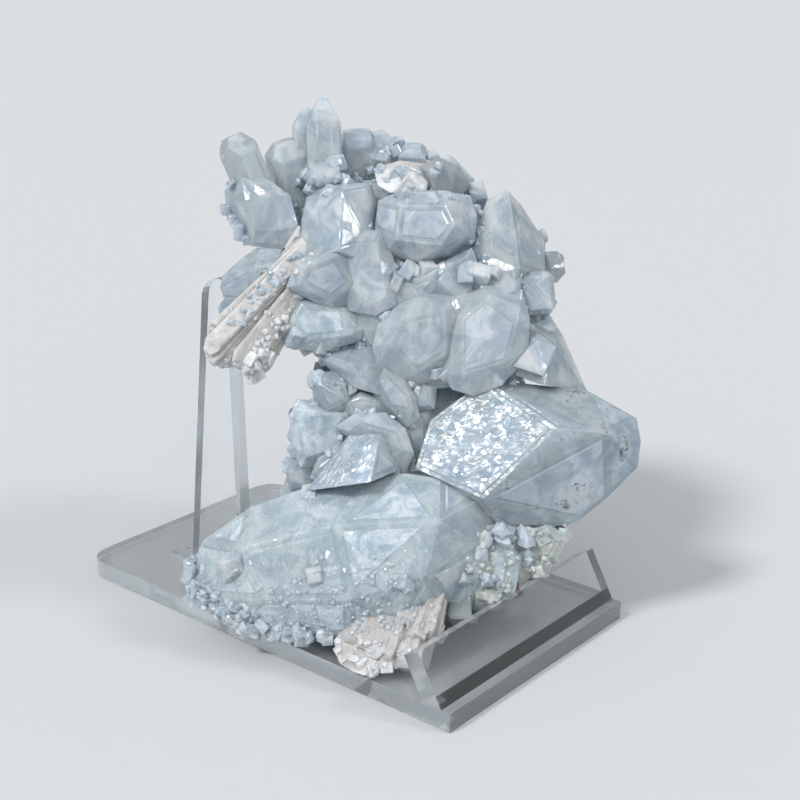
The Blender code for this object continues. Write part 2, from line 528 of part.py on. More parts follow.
def sheaf(name, foot, tip, count, spread, least, most):
    """Rows for the blades of a sheaf, which run side by side and fan out a little."""
    dice = random.Random(name)
    way = Vector(tip) - Vector(foot)
    side = Vector((-way.y, way.x, 0)).normalized()
    for step in range(count):
        out = (2 * step / (count - 1) - 1) * spread
        near = Vector((0, 0, dice.uniform(*BLADE_NEAR)))
        reach = dice.uniform(*BLADE_REACH) - OUTER_BLADE_LOSS * (out / spread) ** 2
        root = Vector(foot) + side * out * FAN + near
        end = Vector(foot) + way * reach + side * out + near
        wide = dice.uniform(least, most)
        thick = dice.uniform(*BLADE_THICK)
        roll = dice.uniform(*BLADE_ROLL)
        slope = dice.uniform(*BLADE_SLOPE)
        yield (f"{name}_blade_{step}", tuple(root), tuple(end), wide, thick, roll, slope,
               BLADE_FLAT, BLADE_CORNER)


def fringe(name, start, end, count, least, most):
    """Small blocky crystals strung from start to end, each turned its own way."""
    dice = random.Random(name)
    for step in range(count):
        share = (step + dice.uniform(*STEP_VARIES)) / count
        place = spot(*(a + (b - a) * share for a, b in zip(start, end)))
        size = dice.uniform(least, most)
        half = Vector((size, size, size * SMALL_LENGTH)) / 2
        shape = box(-half, half)
        turn = Matrix.Rotation(dice.uniform(0, math.tau), 4, Vector((
            dice.uniform(-1, 1), dice.uniform(-1, 1), dice.uniform(-1, 1))))
        bmesh.ops.transform(shape, matrix=Matrix.Translation(place) @ turn, verts=shape.verts)
        yield shape


def drop_pockets(mesh):
    """Keep the outer skin of a joined solid and drop any sealed space inside it."""
    shape = bmesh.new()
    shape.from_mesh(mesh)
    left = set(shape.verts)
    groups = []
    while left:
        group = set()
        front = {left.pop()}
        while front:
            group |= front
            front = {e.other_vert(v) for v in front for e in v.link_edges} - group
        left -= group
        groups.append(group)
    groups.sort(key=len)
    inner = [v for group in groups[:-1] for v in group]
    bmesh.ops.delete(shape, geom=inner, context="VERTS")
    bmesh.ops.recalc_face_normals(shape, faces=shape.faces)
    shape.to_mesh(mesh)
    shape.free()


def make_cluster(material):
    first, *others = BLOCKS
    cluster = add_object("apophyllite_cluster", mesh_from(hull(BLOCKS[first]), first), material)
    solids = [(name, hull(BLOCKS[name])) for name in others]
    rows = CRYSTALS + [blade for name, row in SHEAVES.items() for blade in sheaf(name, *row)]
    solids += [(row[0], crystal(*row)) for row in rows]
    solids += [(name, hull(tile_points(*row))) for name, row in TILES.items()]
    solids += [(name, shape) for name, row in FRINGES.items() for shape in fringe(name, *row)]
    # The exact solver loses the cluster at some of these many overlaps, and this one doesn't.
    for name, shape in solids:
        boolean(cluster, add_object(name, mesh_from(shape, name), material), "UNION", "MANIFOLD")
    # The stand's room is taken out of the specimen, so that it rests on it without touching.
    side = BASE_WIDTH / 2 + FIT_GAP
    back = BASE_DEPTH / 2 + FIT_GAP
    fin_right = FIN_LEFT + SHEET + FIT_GAP
    clearances = {
        "plate_room": box((-side, -back, -SHEET), (side, back, SHEET + FIT_GAP)),
        "lip_room": prism(lip_outline(FIT_GAP), -side, side, "X"),
        "fin_room": prism(fin_outline(FIT_GAP), FIN_LEFT - FIT_GAP, fin_right, "X"),
    }
    for name, shape in clearances.items():
        boolean(cluster, add_object(name, mesh_from(shape, name), material), "DIFFERENCE")
    drop_pockets(cluster.data)


def main():
    clear_scene()
    crystal_look = make_material("apophyllite", (0.60, 0.66, 0.68), 0.2, 0.5, 1.535)
    base_look = make_material("clear_acrylic_base", (0.90, 0.94, 0.96), 0.05, 1.0, 1.49)
    fin_look = make_material("clear_acrylic_upright", (0.90, 0.94, 0.96), 0.05, 1.0, 1.49)
    make_cluster(crystal_look)
    make_stand(base_look, fin_look)
    for item in bpy.data.objects:
        item.data.transform(Matrix.Scale(MM, 4))


main()
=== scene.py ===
# %% [markdown]
# # A cluster of apophyllite on its display stand
#
# Apophyllite is a soft, glassy mineral of square crystals. They grow side by side and through one
# another in the bubbles of old lava, with cream sheaves of stilbite among them. This lesson builds
# such a cluster crystal by crystal, gives each kind its own finish, joins the crystals into one
# solid, and plants a druse of small crystals on it. The measured solids of the part are loaded
# first: they fix the size and the place of everything that follows.

# %% Load the measured solids
import math
import random

import bpy
from mathutils import Matrix, Vector
from mathutils.bvhtree import BVHTree


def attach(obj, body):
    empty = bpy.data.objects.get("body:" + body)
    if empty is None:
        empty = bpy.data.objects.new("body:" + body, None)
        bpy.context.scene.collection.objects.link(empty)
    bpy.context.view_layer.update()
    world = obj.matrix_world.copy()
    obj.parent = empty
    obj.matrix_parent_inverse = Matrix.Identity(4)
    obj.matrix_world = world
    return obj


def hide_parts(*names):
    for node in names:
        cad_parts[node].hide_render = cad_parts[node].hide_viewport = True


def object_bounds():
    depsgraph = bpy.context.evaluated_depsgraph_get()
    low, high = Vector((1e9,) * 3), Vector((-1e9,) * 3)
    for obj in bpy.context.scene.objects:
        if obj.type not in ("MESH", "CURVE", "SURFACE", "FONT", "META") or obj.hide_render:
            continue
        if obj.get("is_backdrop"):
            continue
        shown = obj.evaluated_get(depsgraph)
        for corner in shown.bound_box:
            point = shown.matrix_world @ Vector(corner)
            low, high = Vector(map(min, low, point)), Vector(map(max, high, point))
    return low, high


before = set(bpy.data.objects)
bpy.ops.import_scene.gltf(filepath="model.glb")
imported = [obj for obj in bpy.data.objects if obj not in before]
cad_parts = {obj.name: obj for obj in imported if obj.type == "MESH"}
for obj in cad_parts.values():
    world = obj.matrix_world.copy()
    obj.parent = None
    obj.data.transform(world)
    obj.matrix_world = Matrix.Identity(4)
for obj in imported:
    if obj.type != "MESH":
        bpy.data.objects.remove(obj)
cad_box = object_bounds()
print("measured nodes:", sorted(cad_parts))

# %% [markdown]
# ## The camera and the pane
#
# The show side of a specimen is the one its owner turns to the front, so the camera is set first
# and the crystals are placed from it. Every place below is written as (across, rise, toward):
# across and rise are millimetres on a pane held square to the view, and toward is how far in front
# of the specimen's middle the point lies along the sight line. That way a crystal can be moved
# nearer or farther without leaving its place in the picture.

# %% Camera
MM = 0.001
VIEW_YAW = math.radians(49.92)
VIEW_DROP = math.radians(19.1)
EYE = Vector((-217.08, -199.04, 148.69)) * MM
LENS_MM = 64.4
SENSOR_MM = 36.0
NEAREST_SEEN = 0.01
EYE_TO_PANE = 286.25
EYE_TO_MIDDLE = 307.0
MIDDLE = Vector((4.9, -12.3, 48.2))
AHEAD = Vector((
    math.sin(VIEW_YAW) * math.cos(VIEW_DROP),
    math.cos(VIEW_YAW) * math.cos(VIEW_DROP),
    -math.sin(VIEW_DROP),
))
ACROSS = Vector((math.cos(VIEW_YAW), -math.sin(VIEW_YAW), 0.0))
RISE = ACROSS.cross(AHEAD)


def spot(across, rise, toward):
    """The point in metres that shows at (across, rise) on the pane, at depth toward."""
    spread = (EYE_TO_MIDDLE - toward) / EYE_TO_PANE
    return (MIDDLE + ACROSS * across * spread + RISE * rise * spread - AHEAD * toward) * MM


camera = bpy.data.objects.new("camera", bpy.data.cameras.new("camera"))
bpy.context.scene.collection.objects.link(camera)
camera.location = EYE
camera.rotation_euler = (math.pi / 2 - VIEW_DROP, 0.0, -VIEW_YAW)
camera.data.lens = LENS_MM
camera.data.sensor_width = SENSOR_MM
camera.data.clip_start = NEAREST_SEEN
bpy.context.scene.camera = camera
print("camera stands", round((EYE - MIDDLE * MM).length, 3), "m from the specimen")

# %% [markdown]
# ## Tools for the bench
#
# Blender's operators act on whatever is selected, so each step starts from a clean selection. The
# first helpers select one object and apply one modifier. The others are for materials: they turn a
# web colour into the linear values that shaders work in, turn a size into a texture scale, start a
# material, and add one shader node with its settings and links.

# %% Selection and modifiers


def only(item):
    """Select this object alone and make it the active one."""
    bpy.ops.object.select_all(action="DESELECT")
    item.select_set(True)
    bpy.context.view_layer.objects.active = item


def apply_modifier(item, kind, **settings):
    """Add one modifier to the object and apply it at once."""
    only(item)
    modifier = item.modifiers.new(kind.lower(), kind)
    for key, value in settings.items():
        setattr(modifier, key, value)
    bpy.ops.object.modifier_apply(modifier=modifier.name)


# %% Colours, scales and nodes


def linear(hex_colour):
    """A web colour such as #9AA9AE as the linear RGBA that shaders work in."""
    values = [int(hex_colour[i:i + 2], 16) / 255 for i in (1, 3, 5)]
    values = [v / 12.92 if v <= 0.04045 else ((v + 0.055) / 1.055) ** 2.4 for v in values]
    return (*values, 1.0)


def per_mm(size):
    """The texture scale that gives a pattern this many millimetres across."""
    return 1.0 / (size * MM)


def fill(tree, item, inputs):
    """Set inputs of a shader node, each to another node's output, a number or a web colour."""
    for key, value in inputs.items():
        if isinstance(value, bpy.types.NodeSocket):
            tree.links.new(value, item.inputs[key])
        else:
            item.inputs[key].default_value = linear(value) if isinstance(value, str) else value


def node(tree, kind, inputs=None, **settings):
    """Add a shader node, set its options and fill its inputs."""
    item = tree.nodes.new(kind)
    for key, value in settings.items():
        setattr(item, key, value)
    fill(tree, item, inputs or {})
    return item


def new_material(name):
    """A new material, with its node tree and its shader."""
    material = bpy.data.materials.new(name)
    material.use_nodes = True
    return material, material.node_tree, material.node_tree.nodes["Principled BSDF"]


def deepen(tree, light, density):
    """Let thick places lose light: what is left of white, and how fast the rest is lost."""
    depth = node(tree, "ShaderNodeVolumeAbsorption", {"Color": light, "Density": density})
    fill(tree, tree.nodes["Material Output"], {"Volume": depth.outputs["Volume"]})


# %% [markdown]
# ## The crystals, one by one
#
# Places are (across, rise, toward) and sizes are millimetres. A big crystal is given by the corners
# it spans. The prisms have a foot and a tip, two widths, the roll about their axis, how far the end
# faces slope down, how much flat top stays, and how much of the long edges is cut. Lumps are
# crystals met end on, and fringes are rows of small ones.

# %% Big crystals, by the corners they span
BLOCKS = {
    "low_giant": [
        (-42, -33.2, 0), (-39.4, -28, 1), (-30, -21.4, 5), (-19.4, -17.6, 8), (1, -14.6, 10),
        (8, -15.6, 11), (16.4, -19.6, 12), (21, -24.4, 8), (-32, -29.6, 12), (-13, -25, 20),
        (8, -24, 21), (-27.6, -40, 15), (-10, -40, 23), (5, -35, 22), (-42, -39, 3),
        (-35, -45, 7), (-20, -48, 13), (-10, -46.8, 18), (0, -42.8, 20), (9.6, -40.4, 15),
        (16, -29, 14), (14, -38, 12), (-32, -32, -10), (-14, -21, -14), (10, -20, -10),
        (-18, -40, -2), (6, -34, -2),
    ],
    "right_giant": [
        (31.4, -5.6, 16), (17, 4.2, 8), (16.6, -19.8, 16), (6, -4, 7.3), (3, -13.6, 9.6),
        (37.4, 2, 2), (44, -1.6, 4), (47.4, -3.6, 5), (48.2, -8.2, 7), (47.6, -13.4, 7),
        (41.6, -19.4, 8), (36, -24, 8), (33.2, -25.2, 8), (41.2, -6.6, 14), (20, -25, 11),
        (38, -10, -14), (24, -20, -14), (20, 0, -14), (6, -12, -10),
    ],
    "bright_flank": [
        (-19, -18.2, 10), (-11, -8.8, 12), (-9.6, -6, 9), (-6.4, -4.6, 8), (-3, -4, 7),
        (0, -6.4, 6), (1.2, -9, 6), (0.8, -13.6, 8), (-4.4, -8.6, 14), (-6, -16.4, 17),
        (-12, -17.2, 16), (-10, -14, -8), (-2, -8, -8),
    ],
    "left_wedge": [
        (-17.2, 9.8, 4), (-15.8, 8.4, 7), (-13.4, 5.2, 6), (-12.6, 11.6, 3), (-8, 12.2, 4),
        (-5, 11.2, 6), (-0.8, 6.8, 8), (-4, 1, 9), (-9, 2.4, 9), (-11, 7, 11), (-6, 6, -14),
        (-12, 8, -8),
    ],
    "shield": [
        (-4.4, 40, 5), (0, 42, 6), (8, 42, 6), (14, 41, 3), (15.4, 37, 3), (15, 32, 4),
        (10, 28.4, 6), (3, 27.2, 8), (-3, 29.6, 7), (-5.2, 34, 5), (0, 39, 13), (9, 39, 13),
        (11, 35, 13), (8, 31, 13), (-1, 32, 13), (5, 35, -16), (12, 38, -12),
    ],
    "sharp_point": [
        (21.4, 42.2, -2), (22.2, 39, 2), (23, 32, 6), (24, 26.4, 9), (17.4, 40.2, -4),
        (14, 30, 4), (15, 25, 6), (26, 34, -3), (28.8, 32, -6), (29, 25, -1), (22, 22, 8),
        (21, 34, -18), (27, 27, -18), (16, 34, -14), (24.4, 38.8, -5),
    ],
    "upper_left_face": [
        (-18.8, 40.6, 2), (-16, 42.8, 2), (-11, 43.8, 2), (-5.6, 43.2, 1), (-4.8, 40, 2),
        (-11.8, 42, 7), (-12.4, 30, 12), (-20.4, 33, 5), (-19.4, 27.6, 8), (-6.4, 32, 7),
        (-6.8, 27.6, 8), (-12, 36, -14),
    ],
    "small_cube": [
        (22.6, 6.8, 11), (28.6, 4.8, 11), (31.2, 10.6, 8), (27.4, 12, 9.5), (24, 13.8, 5),
        (27, 14.2, 4), (24, 6, -6), (30, 5, -6), (30, 13, -6), (22.4, 10, 6),
    ],
    "shoulder": [
        (-35.2, 42, 0), (-35, 38.8, 0), (-31.4, 35.6, 1), (-31.6, 32.8, 1), (-30, 30.8, 2),
        (-23.4, 30.2, 4), (-20.4, 35, 6), (-22, 41, 4), (-27.6, 45, 2), (-32, 45, 3),
        (-31, 40, 5), (-25.6, 41, 6), (-24, 34, 6.6), (-29, 34, 4.6), (-26, 37, -14),
        (-21, 38, -14),
    ],
    "behind_arm": [
        (-28.6, 30.6, 3), (-23, 30.6, 3), (-32, 28.2, 5), (-35.6, 24.8, 5.5),
        (-36.2, 22.8, 6), (-35.4, 20.4, 6.5), (-30, 20, 9), (-24, 26, 9), (-30, 26, 9),
        (-21, 22, -8), (-26, 27, -6),
    ],
    "behind_arm_low": [
        (-36.8, 18.6, 6), (-36, 16.2, 6.5), (-34.4, 15, 7), (-29, 17, 9), (-30, 21, 9),
        (-35.2, 20.6, 7), (-24, 18, 2), (-24, 21, -4),
    ],
    "right_slope": [
        (24, 16.4, 5), (29.6, 17.6, -2), (32.4, 13.2, -3), (31.2, 11, 4), (34, 9.6, -5),
        (37.4, 1.8, -4), (29, 3, 8), (23, 5, 8), (32, 5, 4), (31, 8, -20), (26, 14, -20),
        (35, 2, -16),
    ],
    "cream_patch": [
        (-5.4, 46.4, 0), (0, 48, 0), (6, 47.2, 0), (5.4, 42, 5), (-2, 41.4, 6), (-4.6, 43, 4),
        (2, 45.4, 6), (1, 45, -16),
    ],
    "foot_sheaf": [
        (-13.4, -48, 17), (-12.4, -52.4, 21), (-9.6, -54.4, 23), (-7, -55.2, 24),
        (-4.8, -54.4, 23.5), (-1.6, -52.6, 23), (2, -50.2, 22), (4.6, -48, 20),
        (7.6, -45.2, 17), (9.4, -42.6, 14), (6, -39, 16), (-4, -42, 20), (-11, -45, 18),
        (0, -46, 4), (-6, -50, 12), (6, -42, 2),
    ],
    "right_matrix": [
        (13, -26, 14), (20, -24.6, 11), (28, -25, 8), (33.4, -25.4, 6), (32.4, -28, 6),
        (31.2, -30.6, 6.5), (29.2, -31.2, 7), (27, -35.2, 8), (24, -34.6, 9), (16, -40, 12),
        (18, -34, 13), (24, -28, -16), (30, -28, -6), (18, -36, -2),
    ],
    "matrix_upper": [
        (-20, 38, -2), (-12, 44, -5), (4, 44, -5), (16, 38, -3), (26, 28, -3), (27, 14, 0),
        (24, 4, 5), (4, 2, 7), (-12, 11, 4), (-20, 20, 4), (0, 24, 9), (14, 20, 9),
        (-10, 20, 8), (10, 10, 9), (22, 24, 4), (-16, 34, -26), (4, 40, -28), (18, 28, -28),
        (22, 8, -26), (-4, 8, -24),
    ],
    "matrix_lower": [
        (-16, 1, -2), (-4, 6, 2), (24, 2, 0), (34, -6, -2), (32, -22, 0), (20, -32, 4),
        (4, -36, 8), (-18, -36, 2), (-28, -28, -2), (-19, -14, 1), (0, -4, 6), (-14, -8, 4),
        (-12, 0, -22), (20, 4, -26), (30, -14, -22), (10, -30, -14), (-18, -24, -16),
    ],
}
print(len(BLOCKS), "big crystals")

# %% Prisms
CRYSTALS = [
    # Name, foot, tip, wide, thick, roll, slope, flat, corner.
    ("top_column", (-15.2, 38, -6), (-15.8, 60.4, -2), 7.6, 7.0, 12, 6.0, 0.2, 0.3),
    ("top_column_left", (-18.6, 43, -6), (-18.8, 58.6, -3), 6.0, 5.4, 10, 4.2, 0.25, 0.2),
    ("top_column_foot", (-15, 36, -8), (-15.2, 46.6, 1), 7.8, 8.0, 8, 1.5, 0.8, 0.2),
    ("left_of_column", (-20, 38, -10), (-23.4, 51.8, -3), 8.6, 8.0, 15, 3.4, 0.5, 0.3),
    ("horn", (-26, 35, -2), (-33.8, 52.8, 1), 7.8, 7.6, 28, 4.0, 0.45, 0.5),
    ("ridge_clear", (-8, 40, -16), (-8.6, 53.4, -8), 7.4, 8.0, 5, 1.6, 0.8, 0.3),
    ("ridge_peak", (-3, 41, -16), (-4.2, 53.6, -9), 8.8, 8.0, 20, 4.0, 0.35, 0.2),
    ("ridge_pale", (2, 43, -14), (2.6, 50.8, -8), 6.0, 6.0, 0, 1.6, 0.6, 0.1),
    ("ridge_nub", (6, 45, -13), (6.4, 50, -10), 2.8, 3.0, 30, 1.0, 0.5, 0.2),
    ("ridge_slope", (11, 38, -15), (9.4, 48.8, -8), 8.0, 8.0, 30, 5.5, 0.2, 0.2),
    ("ridge_corner", (14, 38, -12), (15.4, 42.6, -4), 4.6, 5.0, 10, 1.2, 0.6, 0.2),
    ("low_cube", (12, -38, 10), (12, -44.4, 13), 4.8, 5.0, 4, 0.8, 0.8, 0.2),
    ("sharp_right", (25, 28, -14), (28.2, 33, -8), 5.0, 6.0, 20, 3.0, 0.4, 0.2),
    ("dark_back", (27, 25, -20), (31.2, 27.8, -13), 7.2, 7.0, 10, 2.6, 0.5, 0.4),
    ("under_lobe", (-18, 13, -3), (-19.2, 10, 2), 3.6, 4.0, 25, 1.4, 0.4, 0.2),
    ("under_lobe_two", (-23, 16, -3), (-23.4, 12.4, 1), 4.6, 4.4, -10, 1.6, 0.5, 0.2),
    ("bright_chip", (-2, 23, -6), (-0.8, 23.4, 10), 3.8, 5.6, -25, 1.6, 0.5, 0.2),
    ("right_block", (26.8, 21, -12), (26.8, 21.4, 7), 8.6, 9.2, 4, 1.8, 0.75, 0.3),
    ("left_dark", (-12, 5, -8), (-16.8, 5.2, -1), 3.2, 5.0, 0, 1.2, 0.5, 0.1),
    ("glint_chip", (3, 0.6, -4), (2.4, 0.4, 8), 4.0, 4.0, 30, 1.2, 0.5, 0.1),
    ("arm_core", (-18, 30, 2), (-36.2, 8.2, 9.6), 8.0, 6.4, 0, 3.0, 0.6, 0.35),
    ("arm_root", (-18, 23, -2), (-25.8, 14, 8), 8.6, 7.0, 10, 2.0, 0.7, 0.2),
    ("arm_fringe_one", (-24, 16, 4), (-29.2, 7, 11), 4.4, 5.0, 20, 1.4, 0.5, 0.1),
    ("arm_fringe_two", (-22, 17, 4), (-26.8, 9, 9), 3.6, 4.0, -20, 1.2, 0.4, 0.1),
    ("low_block_two", (17, -32, 4), (17, -41.2, 11), 6.0, 6.4, -8, 1.2, 0.7, 0.1),
    ("brown_nub", (20, -34, 4), (21.4, -39, 9.5), 5.4, 5.4, 15, 1.6, 0.6, 0.4),
    ("matrix_tooth", (26, -28, 2), (27.6, -35.2, 8), 5.2, 6.0, 0, 1.6, 0.5, 0.2),
    ("giant_wart", (-16, -34, 10), (-17.2, -35.2, 21), 3.4, 3.6, 12, 0.8, 0.7, 0.1),
    ("giant_knee", (-32, -32, 6), (-33.4, -33.6, 12.5), 7.4, 6.4, 20, 2.2, 0.5, 0.6),
    # The side turned from the view.
    ("back_giant", (8, -10, -12), (14, -2, -44), 17.0, 15.0, 20, 12.0, 0.15, 0.2),
    ("back_upper", (2, 24, -16), (-4, 33, -42), 15.0, 14.0, 35, 10.0, 0.2, 0.25),
    ("back_right", (20, 12, -14), (25, 14, -38), 13.0, 12.0, 10, 8.0, 0.25, 0.3),
    ("back_left", (-6, 12, -12), (-12, 16, -34), 12.0, 11.0, 15, 7.0, 0.3, 0.3),
    ("back_low_left", (-12, -20, -8), (-14, -18, -30), 11.0, 11.0, 40, 6.0, 0.3, 0.3),
    ("back_low", (10, -24, -8), (16, -26, -30), 13.0, 11.0, 5, 6.0, 0.4, 0.3),
    ("back_crest", (12, 32, -14), (14, 36, -32), 9.0, 9.0, 25, 6.0, 0.2, 0.2),
    ("back_crest_left", (-16, 38, -12), (-18, 42, -26), 9.0, 8.0, 5, 5.0, 0.3, 0.3),
    ("back_middle", (16, 2, -18), (24, 0, -40), 11.0, 10.0, 30, 7.0, 0.3, 0.3),
    ("back_cube", (4, 12, -20), (2, 12, -36), 9.0, 10.0, 15, 1.4, 0.8, 0.1),
    ("back_chip", (-4, -4, -16), (-6, -2, -32), 8.0, 7.0, 20, 4.0, 0.4, 0.2),
    ("back_chip_two", (18, 24, -18), (22, 26, -34), 8.0, 8.0, 10, 4.0, 0.4, 0.2),
]
print(len(CRYSTALS), "prisms")

# %% Lumps
# Crystals met face on: depth of the rim, how far the flat face stands in front of it, the share of
# the outline that the face takes, its lean (rise of the depth per mm across and per mm of rise),
# and the outline as (across, rise).
TILES = {
    "upper_front": (8, 2.2, 0.92, (0.10, -0.12), [
        (-12, 31.4), (-4.4, 32), (-2.8, 27.6), (-2.4, 20.4), (-5.6, 18.8), (-9.6, 19.6),
        (-11.2, 23), (-12.2, 27.6)]),
    "lobe_one": (9, 2.4, 0.9, (-0.20, 0.10), [
        (-20.8, 23), (-19.4, 26.8), (-15.6, 29.2), (-12.4, 29.6), (-10.6, 27), (-8.8, 23.2),
        (-10.4, 20.2), (-13.6, 19.2), (-17.6, 21.4)]),
    "lobe_two": (7, 2.7, 0.91, (-0.12, -0.16), [
        (-22.2, 16), (-20, 19.6), (-14.8, 20), (-10.8, 18.8), (-7.6, 15.6), (-9.6, 12.8),
        (-15.6, 11), (-20, 11.6), (-22, 13.4)]),
    "lobe_three": (5.8, 2.2, 0.93, (0.16, 0.12), [
        (-9.6, 18.4), (-5, 19), (-1.6, 17), (-0.4, 13), (-2.4, 9.6), (-6, 11), (-8.4, 14)]),
    "gap_left": (7, 1.6, 0.92, (0.25, 0.20), [
        (-1.6, 20), (0, 23.6), (2.4, 25.6), (6.8, 25.6), (7.6, 23), (6.8, 20), (3, 17.6),
        (0, 17.6)]),
    "gap_middle": (7.5, 1.8, 0.93, (-0.30, 0.10), [
        (7.6, 24), (9.6, 27), (13.6, 29), (15, 25.6), (14.4, 22), (11, 20.4), (8, 21.2)]),
    "gap_right": (6.8, 1.8, 0.92, (0.22, -0.20), [
        (14.8, 22), (16, 25.2), (20, 26), (23.2, 24.8), (22.8, 21.6), (19.6, 20.4),
        (16.4, 20)]),
    "pale_lump": (8, 3.3, 0.86, (-0.10, 0.10), [
        (-3.2, 11), (-2.4, 14.4), (0.4, 17.2), (5, 19.4), (10, 19.2), (12, 16.8), (11.4, 12.8),
        (10, 8.8), (7.2, 5.8), (3.2, 4.2), (-0.4, 5.2), (-2.6, 7.6)]),
    "pale_shield": (8.6, 3.5, 0.94, (0.05, -0.08), [
        (12, 16.4), (14, 18.8), (17.2, 20.8), (20.4, 21.4), (22.6, 19.8), (23.8, 15.6),
        (23.6, 11), (21.6, 7.4), (18.8, 4.8), (15.2, 3.6), (12, 4.6), (10.4, 7), (10.6, 11)]),
    "inclusion_block": (6.6, 2.2, 0.89, (-0.10, 0.20), [
        (-16.6, 2.4), (-15.6, 4.4), (-13, 4.8), (-10.6, 3.2), (-10, 0), (-11.6, -2.4),
        (-14.6, -2.6), (-16.4, -0.4)]),
    "left_block": (5.6, 2.9, 0.92, (-0.15, 0.10), [
        (-20.6, -3.6), (-19, -1.4), (-15.6, -1.6), (-11.6, -3), (-9.6, -6), (-11.4, -9.4),
        (-15.6, -11.6), (-19, -11.8), (-20.4, -8.4)]),
    "left_low": (2.6, 2.2, 0.91, (-0.20, 0.15), [
        (-22, -14.4), (-20.6, -11.8), (-18, -11.6), (-16.2, -13.6), (-16.6, -16.8),
        (-19.2, -17.8), (-21.4, -17.2)]),
    "left_low_inner": (6.4, 1.8, 0.92, (0.15, 0.20), [
        (-16.4, -11.6), (-13, -10), (-11, -10.4), (-12, -13.6), (-14.8, -16),
        (-16.8, -15.2)]),
    "saddle": (6, 1.8, 0.93, (0.10, 0.25), [
        (-11, -0.4), (-7.6, 0.8), (-4, -0.4), (-2, -3), (-4, -4.8), (-8.4, -4.8),
        (-11, -3.2)]),
    "leaf": (8, 1.8, 0.91, (0.25, 0.10), [
        (-5.2, 4), (-3, 6), (0, 4.8), (2, 1), (2.8, -2.4), (0.8, -4), (-2, -2), (-4.4, 0.8)]),
    "recess": (5, 1.4, 0.94, (-0.15, 0.12), [
        (0.4, -4.8), (2.8, -2), (5.6, -2.4), (6.8, -6.4), (6, -12), (2.8, -14), (0.4, -11)]),
    "recess_upper": (6.4, 1.6, 0.92, (0.20, -0.15), [
        (0, 3), (3.6, 4), (6.4, 2.4), (6, -1), (2.4, -1.6), (0.4, 0)]),
    "flank_rim": (8.6, 2.2, 0.94, (0.10, 0.15), [
        (-10.8, -6), (-8, -4), (-3.2, -3.8), (-0.2, -6.2), (1.2, -10), (-0.4, -13.6),
        (-3.2, -12.4), (-7.6, -9)]),
    "glassy_lump": (1, 2.3, 0.89, (-0.20, 0.15), [
        (5, 46), (8, 47.4), (11, 46), (12.6, 43.4), (11, 40.4), (7.2, 40), (5.2, 42)]),
    "low_skirt": (12, 2.4, 0.93, (-0.10, 0.10), [
        (7.2, -28), (14, -27), (17, -32), (15.6, -38), (11.6, -41.2), (8, -40), (6.4, -34)]),
    "low_skirt_right": (10.5, 1.8, 0.93, (0.15, 0.10), [
        (15.6, -29.6), (20, -28), (23, -32), (22, -38), (18.4, -40), (16, -37)]),
    "matrix_knob": (7.6, 1.8, 0.92, (0.20, 0.10), [
        (23.6, -27), (29, -25.4), (32, -28), (30.4, -31.6), (26, -32.4), (23.6, -30)]),
}
# A tile's rim spreads past its outline, into its neighbours, and its root reaches back as far as
# its depth, at a share of the outline.
TILE_SPREAD = 1.32
TILE_DEPTH = 13.0
TILE_ROOT = 0.95
FACE_CORNERS = 5
print(len(TILES), "lumps")

# %% Sheaves and fringes
# Sheaves of blades: foot, tip, how many blades, how far they spread to each side, their least
# and greatest width. The foot of a sheaf has a share of that spread, its outer blades are
# shorter, and each blade lies a little nearer or farther than the next.
FAN = 0.55
BLADE_REACH = (0.90, 1.0)
OUTER_BLADE_LOSS = 0.10
BLADE_NEAR = (-1.6, 1.6)
BLADE_THICK = (4.0, 6.4)
BLADE_ROLL = (-30, 30)
BLADE_SLOPE = (0.8, 2.4)
BLADE_FLAT = 0.5
BLADE_CORNER = 0.15
SHEAVES = {
    "arm": [(-17, 29, 3), (-37.4, 6.4, 11.5), 11, 4.6, 2.6, 4.6],
    "arm_low": [(-22, 20, 4), (-31.4, 4.6, 12), 6, 2.4, 2.2, 3.6],
    "foot": [(2, -36, 12), (-5.4, -53.4, 22.5), 10, 6.4, 3.0, 5.0],
    "foot_right": [(7, -36, 12), (2.6, -48.6, 20), 6, 3.6, 2.6, 4.2],
}

# Fringes: start, end, how many crystals, their least and greatest width.
FRINGES = {
    "giant_left_rim": [(-41.6, -38, 4), (-28, -46.6, 10), 8, 1.8, 3.4],
    "giant_left_end": [(-41.8, -32, 1), (-41.8, -41, 4), 4, 1.6, 3.0],
    "giant_low_rim": [(-26, -47, 11), (-14, -47, 17), 5, 1.8, 3.2],
    "giant_front": [(-30, -37, 13), (4, -37, 23), 8, 1.6, 2.8],
    "foot_rim": [(-12.8, -50, 19), (-5, -54.6, 23.5), 5, 1.6, 2.6],
    "foot_side": [(-3, -53, 22.5), (8.6, -44, 16), 8, 1.8, 3.2],
    "matrix_rim": [(33, -26, 6), (27, -34.6, 8), 6, 1.8, 3.0],
    "matrix_front": [(16, -28, 13), (30, -27, 8), 6, 1.8, 3.0],
    "arm_edge": [(-25.6, 11, 9), (-30.4, 4, 13), 5, 1.6, 3.0],
    "ridge": [(-6, 51, -9), (12, 45, -9), 6, 1.6, 2.8],
    "shoulder_edge": [(-35, 39, 0), (-30.4, 31.4, 2), 5, 1.6, 2.8],
    "lobe_edge": [(-22.4, 13, 5), (-15, 11, 8), 5, 1.8, 3.0],
    "gap": [(-3, 26, 8), (20, 25, 8), 9, 2.0, 3.6],
    "waist": [(-1, 6, 8), (20, 4.6, 9), 7, 1.8, 3.2],
}
print(len(SHEAVES), "sheaves and", len(FRINGES), "fringes")

